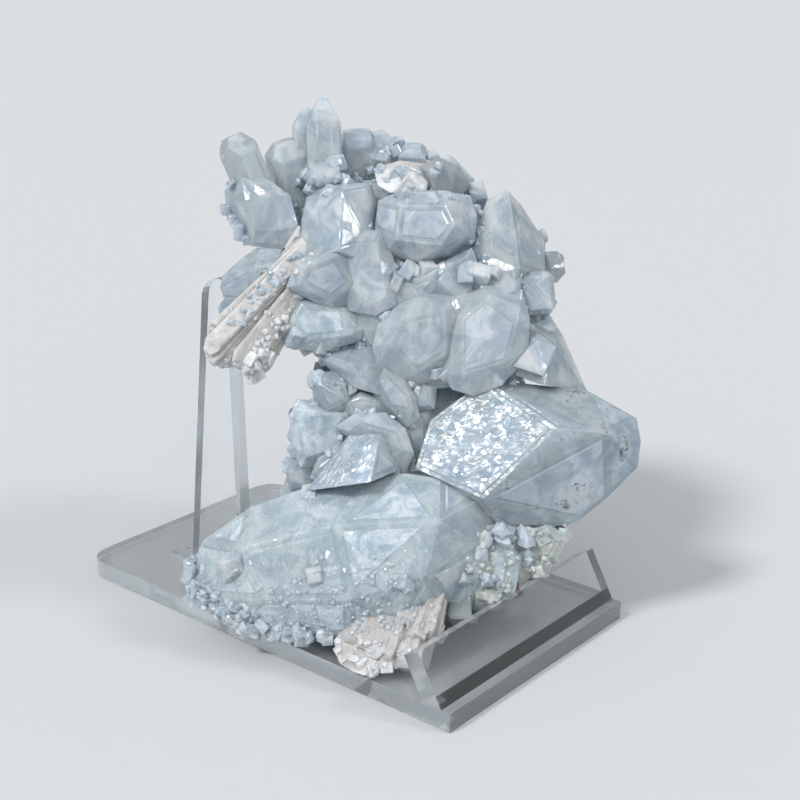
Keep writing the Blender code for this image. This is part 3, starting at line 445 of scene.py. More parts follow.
# %% [markdown]
# ## Modelling one crystal
#
# An apophyllite crystal is a square prism. Its four long edges are often cut a little, and its end
# is closed by four sloping faces that leave a small flat top. So a cube is stretched to the
# crystal's size, turned onto its axis, and sliced in edit mode: bisect cuts the mesh at a plane,
# drops what lies beyond and fills the new face. A narrow bevel then takes the sharpness off every
# edge, because a real one is never quite keen and catches the light in a thin line.
#
# A big crystal is the flat-faced solid that spans its corners, which the convex hull operator
# makes. Some of its larger faces get a low step, as a crystal's growth leaves it.
#
# The pattern on a crystal follows its own length, so each face gets a UV map in millimetres:
# u runs across the crystal and v along it.

# %% Cutting, bevelling and the grain
EDGE_MM = 0.20
EDGE_ANGLE = math.radians(14)
# A point this near to a cutting plane lies on it.
ON_PLANE = 1e-7
# A face whose plane holds less than this of the axis is an end face.
END_FACE = 0.3


def slice_off(point, normal):
    """Cut the mesh at a plane, drop what lies on the side of the normal, and close the cut."""
    bpy.ops.mesh.select_all(action="SELECT")
    bpy.ops.mesh.bisect(plane_co=point, plane_no=normal, use_fill=True, clear_outer=True,
                        threshold=ON_PLANE)


def soften(item, width):
    """Bevel the real edges, and leave those between level faces alone."""
    apply_modifier(item, "BEVEL", width=width * MM, segments=1, limit_method="ANGLE",
                   angle_limit=EDGE_ANGLE)


def lay_grain(item, foot, axis):
    """UVs in millimetres: u across the crystal's axis and v along it, on every face."""
    mesh = item.data
    layer = mesh.uv_layers.active or mesh.uv_layers.new()
    layer.name = "grain"
    for face in mesh.polygons:
        along = axis - face.normal * axis.dot(face.normal)
        if along.length < END_FACE:
            along = axis.orthogonal()
        along.normalize()
        across = along.cross(face.normal)
        for corner in face.loop_indices:
            place = (mesh.vertices[mesh.loops[corner].vertex_index].co - foot) / MM
            layer.data[corner].uv = (place.dot(across), place.dot(along))


# %% A prism
# An axis this close to the sight line counts as seen end on.
END_ON = 0.8
# How far the end faces, their lean and the cut edges vary from crystal to crystal.
SLOPE_VARIES = (0.75, 1.3)
LEAN_VARIES = (0.9, 1.1)
CORNER_VARIES = (0.5, 1.3)
# Corners that two cuts leave closer than this are one.
WELD_MM = 0.05
# Faces of a prism, and of a spanned crystal, that turn by less than this are one flat face.
LEVEL_ANGLE = math.radians(1)
FLAT_ANGLE = math.radians(4)


def crystal(name, foot, tip, wide, thick, roll, slope, flat, corner):
    """A square prism from foot to tip, its edges cut and its end closed by four faces."""
    dice = random.Random(name)
    start = spot(*foot)
    end = spot(*tip)
    wide *= MM
    thick *= MM
    axis = (end - start).normalized()
    reference = RISE if abs(axis.dot(AHEAD)) > END_ON else -AHEAD
    sideways = reference.cross(axis).normalized()
    sideways = Matrix.Rotation(math.radians(roll), 3, axis) @ sideways
    across = axis.cross(sideways)
    length = (end - start).length
    bpy.ops.mesh.primitive_cube_add(size=1.0)
    item = bpy.context.active_object
    item.name = name
    turn = Matrix((sideways, across, axis)).transposed().to_4x4()
    size = Matrix.Diagonal((wide, thick, length, 1.0))
    item.matrix_world = Matrix.Translation(start + axis * length / 2) @ turn @ size
    only(item)
    bpy.ops.object.transform_apply()
    bpy.ops.object.mode_set(mode="EDIT")
    for side, half, other, other_half in (
        (sideways, wide / 2, across, thick / 2), (-sideways, wide / 2, across, thick / 2),
        (across, thick / 2, sideways, wide / 2), (-across, thick / 2, sideways, wide / 2),
    ):
        reach = slope * MM * dice.uniform(*SLOPE_VARIES)
        lean = side * reach + axis * half * (1 - flat) * dice.uniform(*LEAN_VARIES)
        slice_off(end - axis * reach + side * half, lean.normalized())
        if corner:
            share = corner * dice.uniform(*CORNER_VARIES)
            edge = start + side * half * (1 - share) + other * other_half
            slice_off(edge, (side * other_half + other * half).normalized())
    bpy.ops.mesh.select_all(action="SELECT")
    bpy.ops.mesh.remove_doubles(threshold=WELD_MM * MM)
    bpy.ops.mesh.convex_hull(join_triangles=False)
    bpy.ops.mesh.select_all(action="SELECT")
    bpy.ops.mesh.dissolve_limited(angle_limit=LEVEL_ANGLE)
    bpy.ops.object.mode_set(mode="OBJECT")
    soften(item, EDGE_MM)
    lay_grain(item, start, axis)
    return item


# %% A big crystal
# Growth steps: how wide a face and how long its edges must be, the share of such faces that have
# one, its margin, the width of its side and its height, all in millimetres.
STEP_WIDE = 2.4
STEP_EDGE = 2.0
STEP_CHANCE = 0.6
STEP_MARGIN = (0.5, 1.4)
STEP_SIDE = 0.12
STEP_HIGH = (0.10, 0.22)


def growth_steps(item):
    """Raise a low step on some of the larger faces, as a crystal's growth leaves it."""
    dice = random.Random(item.name)
    only(item)
    bpy.ops.object.mode_set(mode="EDIT")
    bpy.ops.mesh.select_mode(type="FACE")
    bpy.ops.mesh.select_all(action="DESELECT")
    bpy.ops.object.mode_set(mode="OBJECT")
    corners = item.data.vertices
    for face in item.data.polygons:
        edges = [(corners[a].co - corners[b].co).length / MM for a, b in face.edge_keys]
        width = 2 * face.area / MM ** 2 / sum(edges)
        roomy = width > STEP_WIDE and min(edges) > STEP_EDGE
        face.select = roomy and dice.random() < STEP_CHANCE
    bpy.ops.object.mode_set(mode="EDIT")
    bpy.ops.mesh.inset(thickness=dice.uniform(*STEP_MARGIN) * MM, use_individual=True)
    bpy.ops.mesh.inset(thickness=STEP_SIDE * MM, depth=dice.uniform(*STEP_HIGH) * MM,
                       use_individual=True)
    bpy.ops.object.mode_set(mode="OBJECT")


def spanned(name, points):
    """The flat-faced solid that spans the given spots."""
    mesh = bpy.data.meshes.new(name)
    mesh.from_pydata([spot(*point) for point in points], [], [])
    item = bpy.data.objects.new(name, mesh)
    bpy.context.scene.collection.objects.link(item)
    only(item)
    bpy.ops.object.mode_set(mode="EDIT")
    bpy.ops.mesh.select_all(action="SELECT")
    bpy.ops.mesh.convex_hull(join_triangles=False)
    bpy.ops.mesh.select_all(action="SELECT")
    bpy.ops.mesh.dissolve_limited(angle_limit=FLAT_ANGLE)
    bpy.ops.object.mode_set(mode="OBJECT")
    growth_steps(item)
    return item


# %% Lumps, sheaves and fringes
# Where along its step a small crystal of a fringe stands, and its length in widths.
STEP_VARIES = (0.2, 0.8)
SMALL_LENGTH = 1.4


def tile_points(depth, bulge, face, lean, outline):
    """Corners of a crystal met face on: its rim, its plainer front face and its root."""
    middle = [sum(values) / len(outline) for values in zip(*outline)]
    front = [outline[corner * len(outline) // FACE_CORNERS] for corner in range(FACE_CORNERS)]
    points = []
    for ring, share, forward in (
        (outline, TILE_SPREAD, 0.0), (front, face, bulge), (outline, TILE_ROOT, -TILE_DEPTH),
    ):
        for across, rise in ring:
            out = (across - middle[0]) * share
            up = (rise - middle[1]) * share
            slant = lean[0] * out + lean[1] * up
            points.append((middle[0] + out, middle[1] + up, depth + forward + slant))
    return points


def sheaf(name, foot, tip, count, spread, least, most):
    """Rows for the blades of a sheaf, which run side by side and fan out a little."""
    dice = random.Random(name)
    way = Vector(tip) - Vector(foot)
    side = Vector((-way.y, way.x, 0)).normalized()
    for step in range(count):
        out = (2 * step / (count - 1) - 1) * spread
        near = Vector((0, 0, dice.uniform(*BLADE_NEAR)))
        reach = dice.uniform(*BLADE_REACH) - OUTER_BLADE_LOSS * (out / spread) ** 2
        root = Vector(foot) + side * out * FAN + near
        end = Vector(foot) + way * reach + side * out + near
        wide = dice.uniform(least, most)
        thick = dice.uniform(*BLADE_THICK)
        roll = dice.uniform(*BLADE_ROLL)
        slope = dice.uniform(*BLADE_SLOPE)
        yield (f"{name}_blade_{step}", tuple(root), tuple(end), wide, thick, roll, slope,
               BLADE_FLAT, BLADE_CORNER)


def small_block(name, place, size, turn):
    """One small blocky crystal, for the fringes."""
    bpy.ops.mesh.primitive_cube_add(size=1.0)
    item = bpy.context.active_object
    item.name = name
    item.matrix_world = Matrix.Translation(place) @ turn @ Matrix.Diagonal(
        (size, size, size * SMALL_LENGTH, 1.0))
    only(item)
    bpy.ops.object.transform_apply()
    soften(item, EDGE_MM)
    lay_grain(item, place, (turn @ Vector((0, 0, 1))).normalized())
    return item


def fringe(name, start, end, count, least, most):
    """Small blocky crystals strung from start to end, each turned its own way."""
    dice = random.Random(name)
    made = []
    for step in range(count):
        share = (step + dice.uniform(*STEP_VARIES)) / count
        place = spot(*(a + (b - a) * share for a, b in zip(start, end)))
        size = dice.uniform(least, most) * MM
        turn = Matrix.Rotation(dice.uniform(0, math.tau), 4, Vector((
            dice.uniform(-1, 1), dice.uniform(-1, 1), dice.uniform(-1, 1))))
        made.append(small_block(name, place, size, turn))
    return made


# %% [markdown]
# ## Layers of colour and relief
#
# Every crystal's finish is built the same way: patterns are laid over a body colour one after the
# other, and bumps are laid over one another to turn the surface normal. These helpers say so once.

# %% Layers


def guides(tree):
    """What patterns follow: places in space, the crystal's own length, and the crevices."""
    return (node(tree, "ShaderNodeTexCoord").outputs["Object"],
            node(tree, "ShaderNodeUVMap", uv_map="grain").outputs["UV"],
            node(tree, "ShaderNodeVertexColor", layer_name="crevice").outputs["Color"])


def laid_over(tree, colour, pattern, low, high, amount, top):
    """Lay the colour top over another where a pattern rises from low to high."""
    share = node(tree, "ShaderNodeMapRange", {0: pattern, 1: low, 2: high, 4: amount})
    return node(tree, "ShaderNodeMix", {0: share.outputs["Result"], 6: colour, 7: top},
                data_type="RGBA").outputs[2]


def faceted(tree, vector, size, tilt):
    """Height in metres of a ground of small flat facets, each size metres across and tilted."""
    cells = node(tree, "ShaderNodeTexVoronoi", {"Vector": vector, "Scale": 1.0 / size})
    away = node(tree, "ShaderNodeVectorMath", {0: vector, 1: cells.outputs["Position"]},
                operation="SUBTRACT")
    lean = node(tree, "ShaderNodeVectorMath", {0: cells.outputs["Color"], 1: (0.5, 0.5, 0.5)},
                operation="SUBTRACT")
    height = node(tree, "ShaderNodeVectorMath", {
        0: away.outputs["Vector"], 1: lean.outputs["Vector"]}, operation="DOT_PRODUCT")
    return node(tree, "ShaderNodeMath", {0: height.outputs["Value"], 1: tilt},
                operation="MULTIPLY").outputs["Value"]


def relief(tree, bumps):
    """The normal of a surface with these bumps on it, each a height, a strength and a depth."""
    normal = None
    for height, strength, depth in bumps:
        inputs = {"Height": height, "Strength": strength, "Distance": depth}
        if normal:
            inputs["Normal"] = normal
        normal = node(tree, "ShaderNodeBump", inputs).outputs["Normal"]
    return normal


# %% [markdown]
# ## Finishes: apophyllite
#
# Apophyllite is a hydrous silicate with a refractive index of about 1.535, clear as glass where it
# grew slowly and milky where it trapped water and tiny cracks. So one recipe serves all its
# crystals, with more or less of each thing in it: light that passes straight through
# (transmission), light that wanders inside (subsurface), white veils in soft clouds, growth lines
# along the crystal, dust of dark inclusions, and painted greenish shade where small crystals meet.
# The volume absorption gives thick places their colour. The light is tinted by the base colour each
# time it goes in or out, so the clear kinds have nearly white ones.

# %% Streaks along a crystal


def streaks(tree, grain, across, along, detail):
    """Streaks along the crystal; across and along are how often they change in a millimetre."""
    stretched = node(tree, "ShaderNodeMapping", {
        "Vector": grain, "Scale": (across, along, 1.0)}).outputs["Vector"]
    return node(tree, "ShaderNodeTexNoise", {
        "Vector": stretched, "Scale": 1.0, "Detail": detail, "Roughness": 0.6}).outputs["Fac"]


# %% The etched face
PIT_SCALE = (1.5, 0.42, 1.0)
PIT_SLANT = math.radians(24)
PIT_BEND = (3.0, 3.0, 0.0)


def etch_pits(tree, grain):
    """Feather-like etch pits: crooked flecks drawn out along the growth direction."""
    warp = node(tree, "ShaderNodeTexNoise", {
        "Vector": grain, "Scale": 0.35, "Detail": 3.0}).outputs["Color"]
    bent = node(tree, "ShaderNodeVectorMath", {0: warp, 1: PIT_BEND, 2: grain},
                operation="MULTIPLY_ADD").outputs["Vector"]
    drawn = node(tree, "ShaderNodeMapping", {
        "Vector": bent, "Scale": PIT_SCALE, "Rotation": (0.0, 0.0, PIT_SLANT)}).outputs["Vector"]
    flecks = node(tree, "ShaderNodeTexNoise", {
        "Vector": drawn, "Scale": 1.0, "Detail": 5.0, "Roughness": 0.72}).outputs["Fac"]
    patches = node(tree, "ShaderNodeTexNoise", {
        "Vector": grain, "Scale": 0.14, "Detail": 2.0}).outputs["Fac"]
    where = node(tree, "ShaderNodeMapRange", {0: patches, 1: 0.36, 2: 0.58, 3: 0.15})
    return node(tree, "ShaderNodeMapRange", {
        0: flecks, 1: 0.50, 2: 0.58, 4: where.outputs["Result"]}).outputs["Result"]


# %% Apophyllite recipe
APOPHYLLITE_IOR = 1.535
# The clear patches among the veils: their size in veils, and their colour.
CLEARING_SIZE = 1.7
CLEARING = "#97ABBE"
# The painted greenish shade where crystals meet, darker where the mesh is more closed in.
CREVICE_SHADE = "#9FADAC"
# Growth lines change this much more slowly along the crystal than across it.
LINE_LENGTH = 0.07
GROWTH_LINE = "#F4F8FB"
DUST_MM = 2.4
INCLUSION = "#35414A"
# The fine unevenness of the surface.
FINE_MM = 1.2
# The white of the etched flecks: partly real frosting, partly a painted reflection of the key
# light.
ETCH_AND_GLARE_WHITE = "#FFFFFF"
# What is left of white light in the thick of a crystal, and how fast the rest is lost.
THICK_LIGHT = "#B4C8DE"
THICK_DENSITY = 6.0


def apophyllite(name, body, veil, veil_mm=7.0, transmission=0.4, milk=0.75, glow_mm=3.0,
                rough=(0.10, 0.30), line_mm=0.9, lines=0.15, specks=0.0, facet_mm=2.6,
                facet_tilt=0.14, whiteness=0.9, windows=0.45, etched=False):
    """Body and veil are colours; the _mm values are the sizes of the patterns."""
    material, tree, shader = new_material(name)
    place, grain, shade_mask = guides(tree)
    clouds = node(tree, "ShaderNodeTexNoise", {
        "Vector": place, "Scale": per_mm(veil_mm), "Detail": 4.0, "Roughness": 0.62,
        "Distortion": 0.9}).outputs["Fac"]
    clearings = node(tree, "ShaderNodeTexNoise", {
        "Vector": place, "Scale": per_mm(veil_mm * CLEARING_SIZE), "Detail": 2.0,
        "Roughness": 0.6, "Distortion": 0.5}).outputs["Fac"]
    fine = node(tree, "ShaderNodeTexNoise", {
        "Vector": place, "Scale": per_mm(FINE_MM), "Detail": 3.0, "Roughness": 0.65}).outputs["Fac"]
    growth = streaks(tree, grain, 1.0 / line_mm, LINE_LENGTH / line_mm, 3.0)
    colour = laid_over(tree, body, clearings, 0.50, 0.66, windows, CLEARING)
    colour = laid_over(tree, colour, clouds, 0.41, 0.60, whiteness, veil)
    # Painted shade: greenish grey where the mesh is closed in.
    colour = laid_over(tree, colour, shade_mask, 0.45, 0.15, 0.5, CREVICE_SHADE)
    colour = laid_over(tree, colour, growth, 0.55, 0.72, lines, GROWTH_LINE)
    if specks:
        dust = node(tree, "ShaderNodeTexNoise", {
            "Vector": place, "Scale": per_mm(DUST_MM), "Detail": 8.0,
            "Roughness": 0.78}).outputs["Fac"]
        swarm = node(tree, "ShaderNodeMapRange", {0: clouds, 1: 0.52, 2: 0.60, 4: specks})
        colour = laid_over(tree, colour, dust, 0.52, 0.62, swarm.outputs["Result"], INCLUSION)
    bumps = [
        (growth, min(1.0, lines * 2.0), 0.20 * MM),
        (faceted(tree, place, facet_mm * MM, facet_tilt), 1.0, 1.0),
        (fine, 0.20, 0.20 * MM),
    ]
    if etched:
        pits = etch_pits(tree, grain)
        # Partly the real frosting of the etch pits, partly a painted reflection of the key light.
        colour = laid_over(tree, colour, pits, 0.0, 1.0, 1.0, ETCH_AND_GLARE_WHITE)
        bumps.append((pits, 0.8, 0.25 * MM))
    gloss = node(tree, "ShaderNodeMapRange", {0: fine, 1: 0.35, 2: 0.65, 3: rough[0], 4: rough[1]})
    fill(tree, shader, {
        "Base Color": colour, "Roughness": gloss.outputs["Result"], "Normal": relief(tree, bumps),
        "IOR": APOPHYLLITE_IOR, "Transmission Weight": transmission, "Subsurface Weight": milk,
        "Subsurface Radius": (0.95, 1.0, 1.05), "Subsurface Scale": glow_mm * MM})
    deepen(tree, THICK_LIGHT, THICK_DENSITY)
    return material


# %% Kinds of apophyllite
# Milky: most crystals, white clouds in pale blue-grey. Clear: glass with a few veils. Included:
# with dust of dark specks. Striated: fine white lines along it. Etched: the bright maze on two
# faces, partly real frosting and partly a painted reflection of the key light. Sugary: a ground of
# tiny facets. Seed: the druse.
finishes = {
    "milky": apophyllite("milky_apophyllite", "#BCCBDA", "#F2F7FD", transmission=0.35,
                         rough=(0.03, 0.14)),
    "clear": apophyllite("clear_apophyllite", "#E4EEF6", "#FAFDFF", transmission=0.65,
                         rough=(0.02, 0.10), whiteness=0.7, windows=0.0),
    "sooty": apophyllite("included_apophyllite", "#B6C7D7", "#EAF2FA", transmission=0.40,
                         milk=0.6, rough=(0.03, 0.14), specks=0.9),
    "striated": apophyllite("striated_apophyllite", "#C8D6E3", "#F8FBFF", line_mm=0.7,
                            lines=0.8, transmission=0.4, rough=(0.03, 0.14)),
    "frosted_glare": apophyllite("etched_apophyllite", "#93A8BC", "#C2D2E2", veil_mm=4.0,
                           line_mm=1.1, lines=0.3, transmission=0.1, rough=(0.04, 0.14),
                           facet_mm=1.2, facet_tilt=0.25, whiteness=0.75, windows=0.3,
                           etched=True),
    "sugary": apophyllite("sugary_apophyllite", "#AFBFCC", "#DFE9F1", veil_mm=5.0,
                          transmission=0.12, facet_mm=0.7, facet_tilt=0.4, lines=0.05),
    "seed": apophyllite("seed_apophyllite", "#B2C1CD", "#DDE7EF", veil_mm=2.5,
                        transmission=0.25, milk=0.2, facet_mm=0.7, facet_tilt=0.1, lines=0.1,
                        windows=0.2, glow_mm=1.0),
}
print("kinds of apophyllite:", sorted(finishes))

# %% [markdown]
# ## Finishes: stilbite and matrix
#
# Stilbite grows in sheaves of thin blades, so it is silky along their length, cream to pink and
# only faintly translucent. The matrix behind the crystals is a greenish crust with sugar-like
# grains, and one nub of it is stained brown.

# %% Stilbite and matrix recipe
CRUST_IOR = 1.5
PATCH_MM = 5.0
GRIT_MM = 0.9
# How often the blades' streaks change in a millimetre, across them and along them.
BLADE_STREAKS = (1.6, 0.12)
BLADE_LIGHT = "#F6F4F2"


def crust(name, body, light, crack_shade, grain_mm, tilt, milk, rough, lines):
    """Body, light patches and the painted shade in the cracks are colours; tilt and lines are
    relief.
    """
    material, tree, shader = new_material(name)
    place, grain, shade_mask = guides(tree)
    patches = node(tree, "ShaderNodeTexNoise", {
        "Vector": place, "Scale": per_mm(PATCH_MM), "Detail": 4.0, "Roughness": 0.7}).outputs["Fac"]
    grit = node(tree, "ShaderNodeTexNoise", {
        "Vector": place, "Scale": per_mm(GRIT_MM), "Detail": 3.0, "Roughness": 0.7}).outputs["Fac"]
    blades = streaks(tree, grain, *BLADE_STREAKS, 4.0)
    colour = laid_over(tree, body, patches, 0.38, 0.62, 1.0, light)
    colour = laid_over(tree, colour, blades, 0.52, 0.70, 0.5, BLADE_LIGHT)
    # Painted shade in the cracks, where the mesh is closed in.
    colour = laid_over(tree, colour, shade_mask, 0.45, 0.15, 0.7, crack_shade)
    normal = relief(tree, [
        (blades, lines, 0.35 * MM),
        (faceted(tree, place, grain_mm * MM, tilt), 1.0, 1.0),
        (grit, 0.4, 0.25 * MM),
    ])
    fill(tree, shader, {
        "Base Color": colour, "Roughness": rough, "Normal": normal, "IOR": CRUST_IOR,
        "Transmission Weight": 0.1, "Subsurface Weight": milk,
        "Subsurface Radius": (1.1, 1.0, 0.9), "Subsurface Scale": 1.5 * MM})
    return material


# The third colour of each crust is the painted shade in its cracks.
finishes["stilbite"] = crust("silky_stilbite", "#D2D3D5", "#ECEEF1", "#B6AFA9", 1.3, 0.5, 0.6,
                             0.34, 0.7)
finishes["matrix"] = crust("green_grey_matrix", "#B9C3C4", "#DADDDA", "#8F9690", 1.0, 0.8, 0.5,
                           0.35, 0.2)
finishes["brown"] = crust("stained_matrix", "#8F6E5E", "#B79E92", "#5A443C", 0.9, 0.8, 0.2, 0.5,
                          0.2)
print("all finishes:", sorted(finishes))

# %% [markdown]
# ## Growing the cluster
#
# Every crystal is made, given its finish, and then joined to its neighbours by a Boolean union. A
# union of two small things is quicker than adding a small thing to a big one, so they are joined in
# pairs, then the pairs in pairs, and so on until one solid is left. The union keeps each crystal's
# own finish and its UVs. Some faces differ from the rest of their crystal, such as the etched ones,
# so they are picked by the way they look.

# %% Which crystal has which finish
FINISH_OF = {
    "clear": ["horn", "dark_back", "sharp_right", "low_cube", "glassy_lump"],
    "sooty": ["right_giant", "behind_arm", "behind_arm_low", "inclusion_block", "left_dark"],
    "striated": ["small_cube", "left_of_column", "giant_knee", "top_column", "top_column_left",
                 "sharp_point", "right_block", "bright_chip", "glint_chip", "leaf"],
    "stilbite": ["sheaf", "arm_core", "arm_root", "arm_fringe_one", "arm_fringe_two",
                 "cream_patch", "foot_sheaf", "foot_rim", "foot_side", "arm_edge"],
    "sugary": ["low_skirt", "low_skirt_right", "left_block", "lobe_two"],
    "matrix": ["right_matrix", "matrix_knob", "matrix_tooth", "low_block_two", "matrix_rim",
               "matrix_front"],
    "brown": ["brown_nub"],
}
finish_by_name = {name: finish for finish, names in FINISH_OF.items() for name in names}
# Faces that have another finish: three spots on their plane, how squarely they lie along it, and
# the finish.
FACE_FINISH = {
    "right_giant": [((31.4, -5.6, 16), (17, 4.2, 8), (16.6, -19.8, 16)), 0.93, "frosted_glare"],
    "bright_flank": [((-19, -18.2, 10), (-6, -16.4, 17), (-4.4, -8.6, 14)), 0.85, "frosted_glare"],
    "low_giant": [((-32, -29.6, 12), (-10, -46.8, 18), (8, -24, 21)), 0.60, "sugary"],
}


def finished(item, name):
    """Give the crystal its finish, and those of its faces that differ their own."""
    mesh = item.data
    mesh.materials.append(finishes[finish_by_name.get(name, "milky")])
    if name in FACE_FINISH:
        corners, squarely, finish = FACE_FINISH[name]
        first, second, third = (spot(*corner) for corner in corners)
        look = (second - first).cross(third - first).normalized()
        look *= -1 if look.dot(AHEAD) > 0 else 1
        mesh.materials.append(finishes[finish])
        for face in mesh.polygons:
            if face.normal.dot(look) > squarely:
                face.material_index = 1
    return item


# %% Blocks, and joining in pairs
# The way a big crystal lies on the pane, as (across, rise, toward); most of them stand.
LIES = {
    "low_giant": (1, 0.25, 0.1), "right_giant": (1, 0.1, 0.1), "bright_flank": (0.7, 0.7, 0),
    "sharp_point": (-0.1, 1, 0), "foot_sheaf": (-0.2, -1, 0.4), "cream_patch": (1, 0.3, 0),
}
STANDS = (0, 1, 0.2)
# The bevel of a big crystal against that of a small one.
BIG_EDGE = 1.4


def block(name, points):
    """A big crystal with its edges bevelled and its grain laid the way it lies."""
    item = spanned(name, points)
    across, rise, toward = LIES.get(name, STANDS)
    axis = (ACROSS * across + RISE * rise - AHEAD * toward).normalized()
    soften(item, EDGE_MM * BIG_EDGE)
    lay_grain(item, spot(*points[0]), axis)
    return item


def joined(items):
    """Union the solids in pairs until one is left."""
    while len(items) > 1:
        left = items[:-1:2]
        right = items[1::2]
        for target, tool in zip(left, right):
            apply_modifier(target, "BOOLEAN", operation="UNION", solver="MANIFOLD", object=tool,
                           material_mode="TRANSFER")
            bpy.data.objects.remove(tool)
        items = left + items[len(right) * 2:]
    return items[0]


# %% Make and join the crystals
crystals = [finished(block(name, points), name) for name, points in BLOCKS.items()]
crystals += [finished(crystal(*row), row[0]) for row in CRYSTALS]
for name, row in SHEAVES.items():
    crystals += [finished(crystal(*blade), "sheaf") for blade in sheaf(name, *row)]
for name, row in TILES.items():
    crystals.append(finished(block(name, tile_points(*row)), name))
for name, row in FRINGES.items():
    crystals += [finished(item, name) for item in fringe(name, *row)]
print(len(crystals), "crystals")
cluster = joined(crystals)
cluster.name = "crystal_cluster"
high = round(cluster.dimensions.z / MM)
print("one solid of", len(cluster.data.polygons), "faces,", high, "mm high")

# %% [markdown]
# ## Shading and crevices
#
# Crystal faces are flat, so only edges that turn by a few degrees are shaded smooth. The finishes
# paint shade into the places where crystals meet, and Blender's dirt operator finds those: it
# paints each corner of the mesh by how closed in it is.

# %% Shade, and paint the crevices
SMOOTH_BELOW = math.radians(4)
only(cluster)
bpy.ops.object.shade_smooth_by_angle(angle=SMOOTH_BELOW)
paint = cluster.data.color_attributes.new("crevice", "FLOAT_COLOR", "POINT")
cluster.data.attributes.active_color = paint
# The map this paints drives the painted shade in the crevices.
bpy.ops.paint.vertex_color_dirt(blur_strength=1.0, blur_iterations=1)
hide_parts("apophyllite_cluster")
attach(cluster, "root")

# %% [markdown]
# ## Druse: the small crystals
#
# Between the big crystals, and over the front of the lowest one, sit small crystals like coarse
# sugar, more than a thousand in all. Three are modelled, and copied with their own size and turn.
# Each copy is planted where a sight line from the camera, or from anywhere round the back, meets
# the cluster, and is left out where it would reach past the box of the measured solids. Some are
# kept for hollows: a place counts as one when the cluster stands nearer to the camera round it.

# %% The small crystals
# Their depth against their width, how far their root reaches below the ground in widths, how
# steep their end faces are, and how much bevel they have, in millimetres at full size.
SEED_DEPTH = 0.9
SEED_ROOT = 1.0
SEED_STEEP = 0.35
SEED_EDGE = 0.05
# Half of a square's diagonal against half of its side.
HALF_DIAGONAL = 1.41


def seed_crystal(name, length, slope, corner):
    """A crystal one millimetre wide that stands on z = 0 and has its root below."""
    bpy.ops.mesh.primitive_cube_add(size=1.0)
    item = bpy.context.active_object
    item.name = name
    item.matrix_world = Matrix.Diagonal((MM, SEED_DEPTH * MM, (length + SEED_ROOT) * MM, 1.0))
    item.matrix_world.translation.z = (length - SEED_ROOT) / 2 * MM
    only(item)
    bpy.ops.object.transform_apply()
    bpy.ops.object.mode_set(mode="EDIT")
    top = length * MM
    half = 0.5 * MM
    for quarter in range(4):
        way = Matrix.Rotation(math.radians(90 * quarter), 3, "Z") @ Vector((1, 0, 0))
        slice_off(way * half + Vector((0, 0, top - slope * MM)),
                  (way * slope + Vector((0, 0, SEED_STEEP))).normalized())
        if quarter % 2:
            diagonal = Matrix.Rotation(math.radians(45), 3, "Z") @ way
            slice_off(diagonal * half * (HALF_DIAGONAL - corner), diagonal)
    bpy.ops.object.mode_set(mode="OBJECT")
    soften(item, SEED_EDGE)
    lay_grain(item, Vector((0, 0, 0)), Vector((0, 0, 1)))
    return item


patterns = {
    "block": seed_crystal("block", 0.5, 0.18, 0.3),
    "point": seed_crystal("point", 0.8, 0.5, 0.2),
    "stub": seed_crystal("stub", 0.25, 0.1, 0.4),
}
print("small crystals:", list(patterns))

# %% Finding the ground
# Where round a place the ground is looked at to tell a hollow, and the most that it counts as
# dropping away there, in millimetres.
ROUND_ABOUT = ((2, 0), (-2, 0), (0, 2), (0, -2))
DROP = 3
# How near a sight line that misses the cluster counts as.
MISSED = -99.0
surface = BVHTree.FromPolygons([v.co for v in cluster.data.vertices],
                               [face.vertices for face in cluster.data.polygons])


def met(across, rise):
    """Where the sight line through a place on the pane meets the cluster, and how near."""
    way = (spot(across, rise, 0) - EYE).normalized()
    place, normal, _, _ = surface.ray_cast(EYE, way)
    near = -(place / MM - MIDDLE).dot(AHEAD) if place else MISSED
    return place, normal, near


def hollow_at(across, rise, near):
    """How much nearer than this place the ground round it stands, in millimetres."""
    round_it = [met(across + right, rise + up)[2] for right, up in ROUND_ABOUT]
    return sum(max(value, near - DROP) for value in round_it) / len(round_it) - near


def inside(outline, across, rise):
    """Whether a place lies in an outline, by counting the edges to its right."""
    odd = False
    for (a, b), (c, d) in zip(outline, outline[1:] + outline[:1]):
        if (b > rise) != (d > rise) and across < a + (c - a) * (rise - b) / (d - b):
            odd = not odd
    return odd


# %% Where the druse grows
# The hollow that any place has.
ANYWHERE = -9
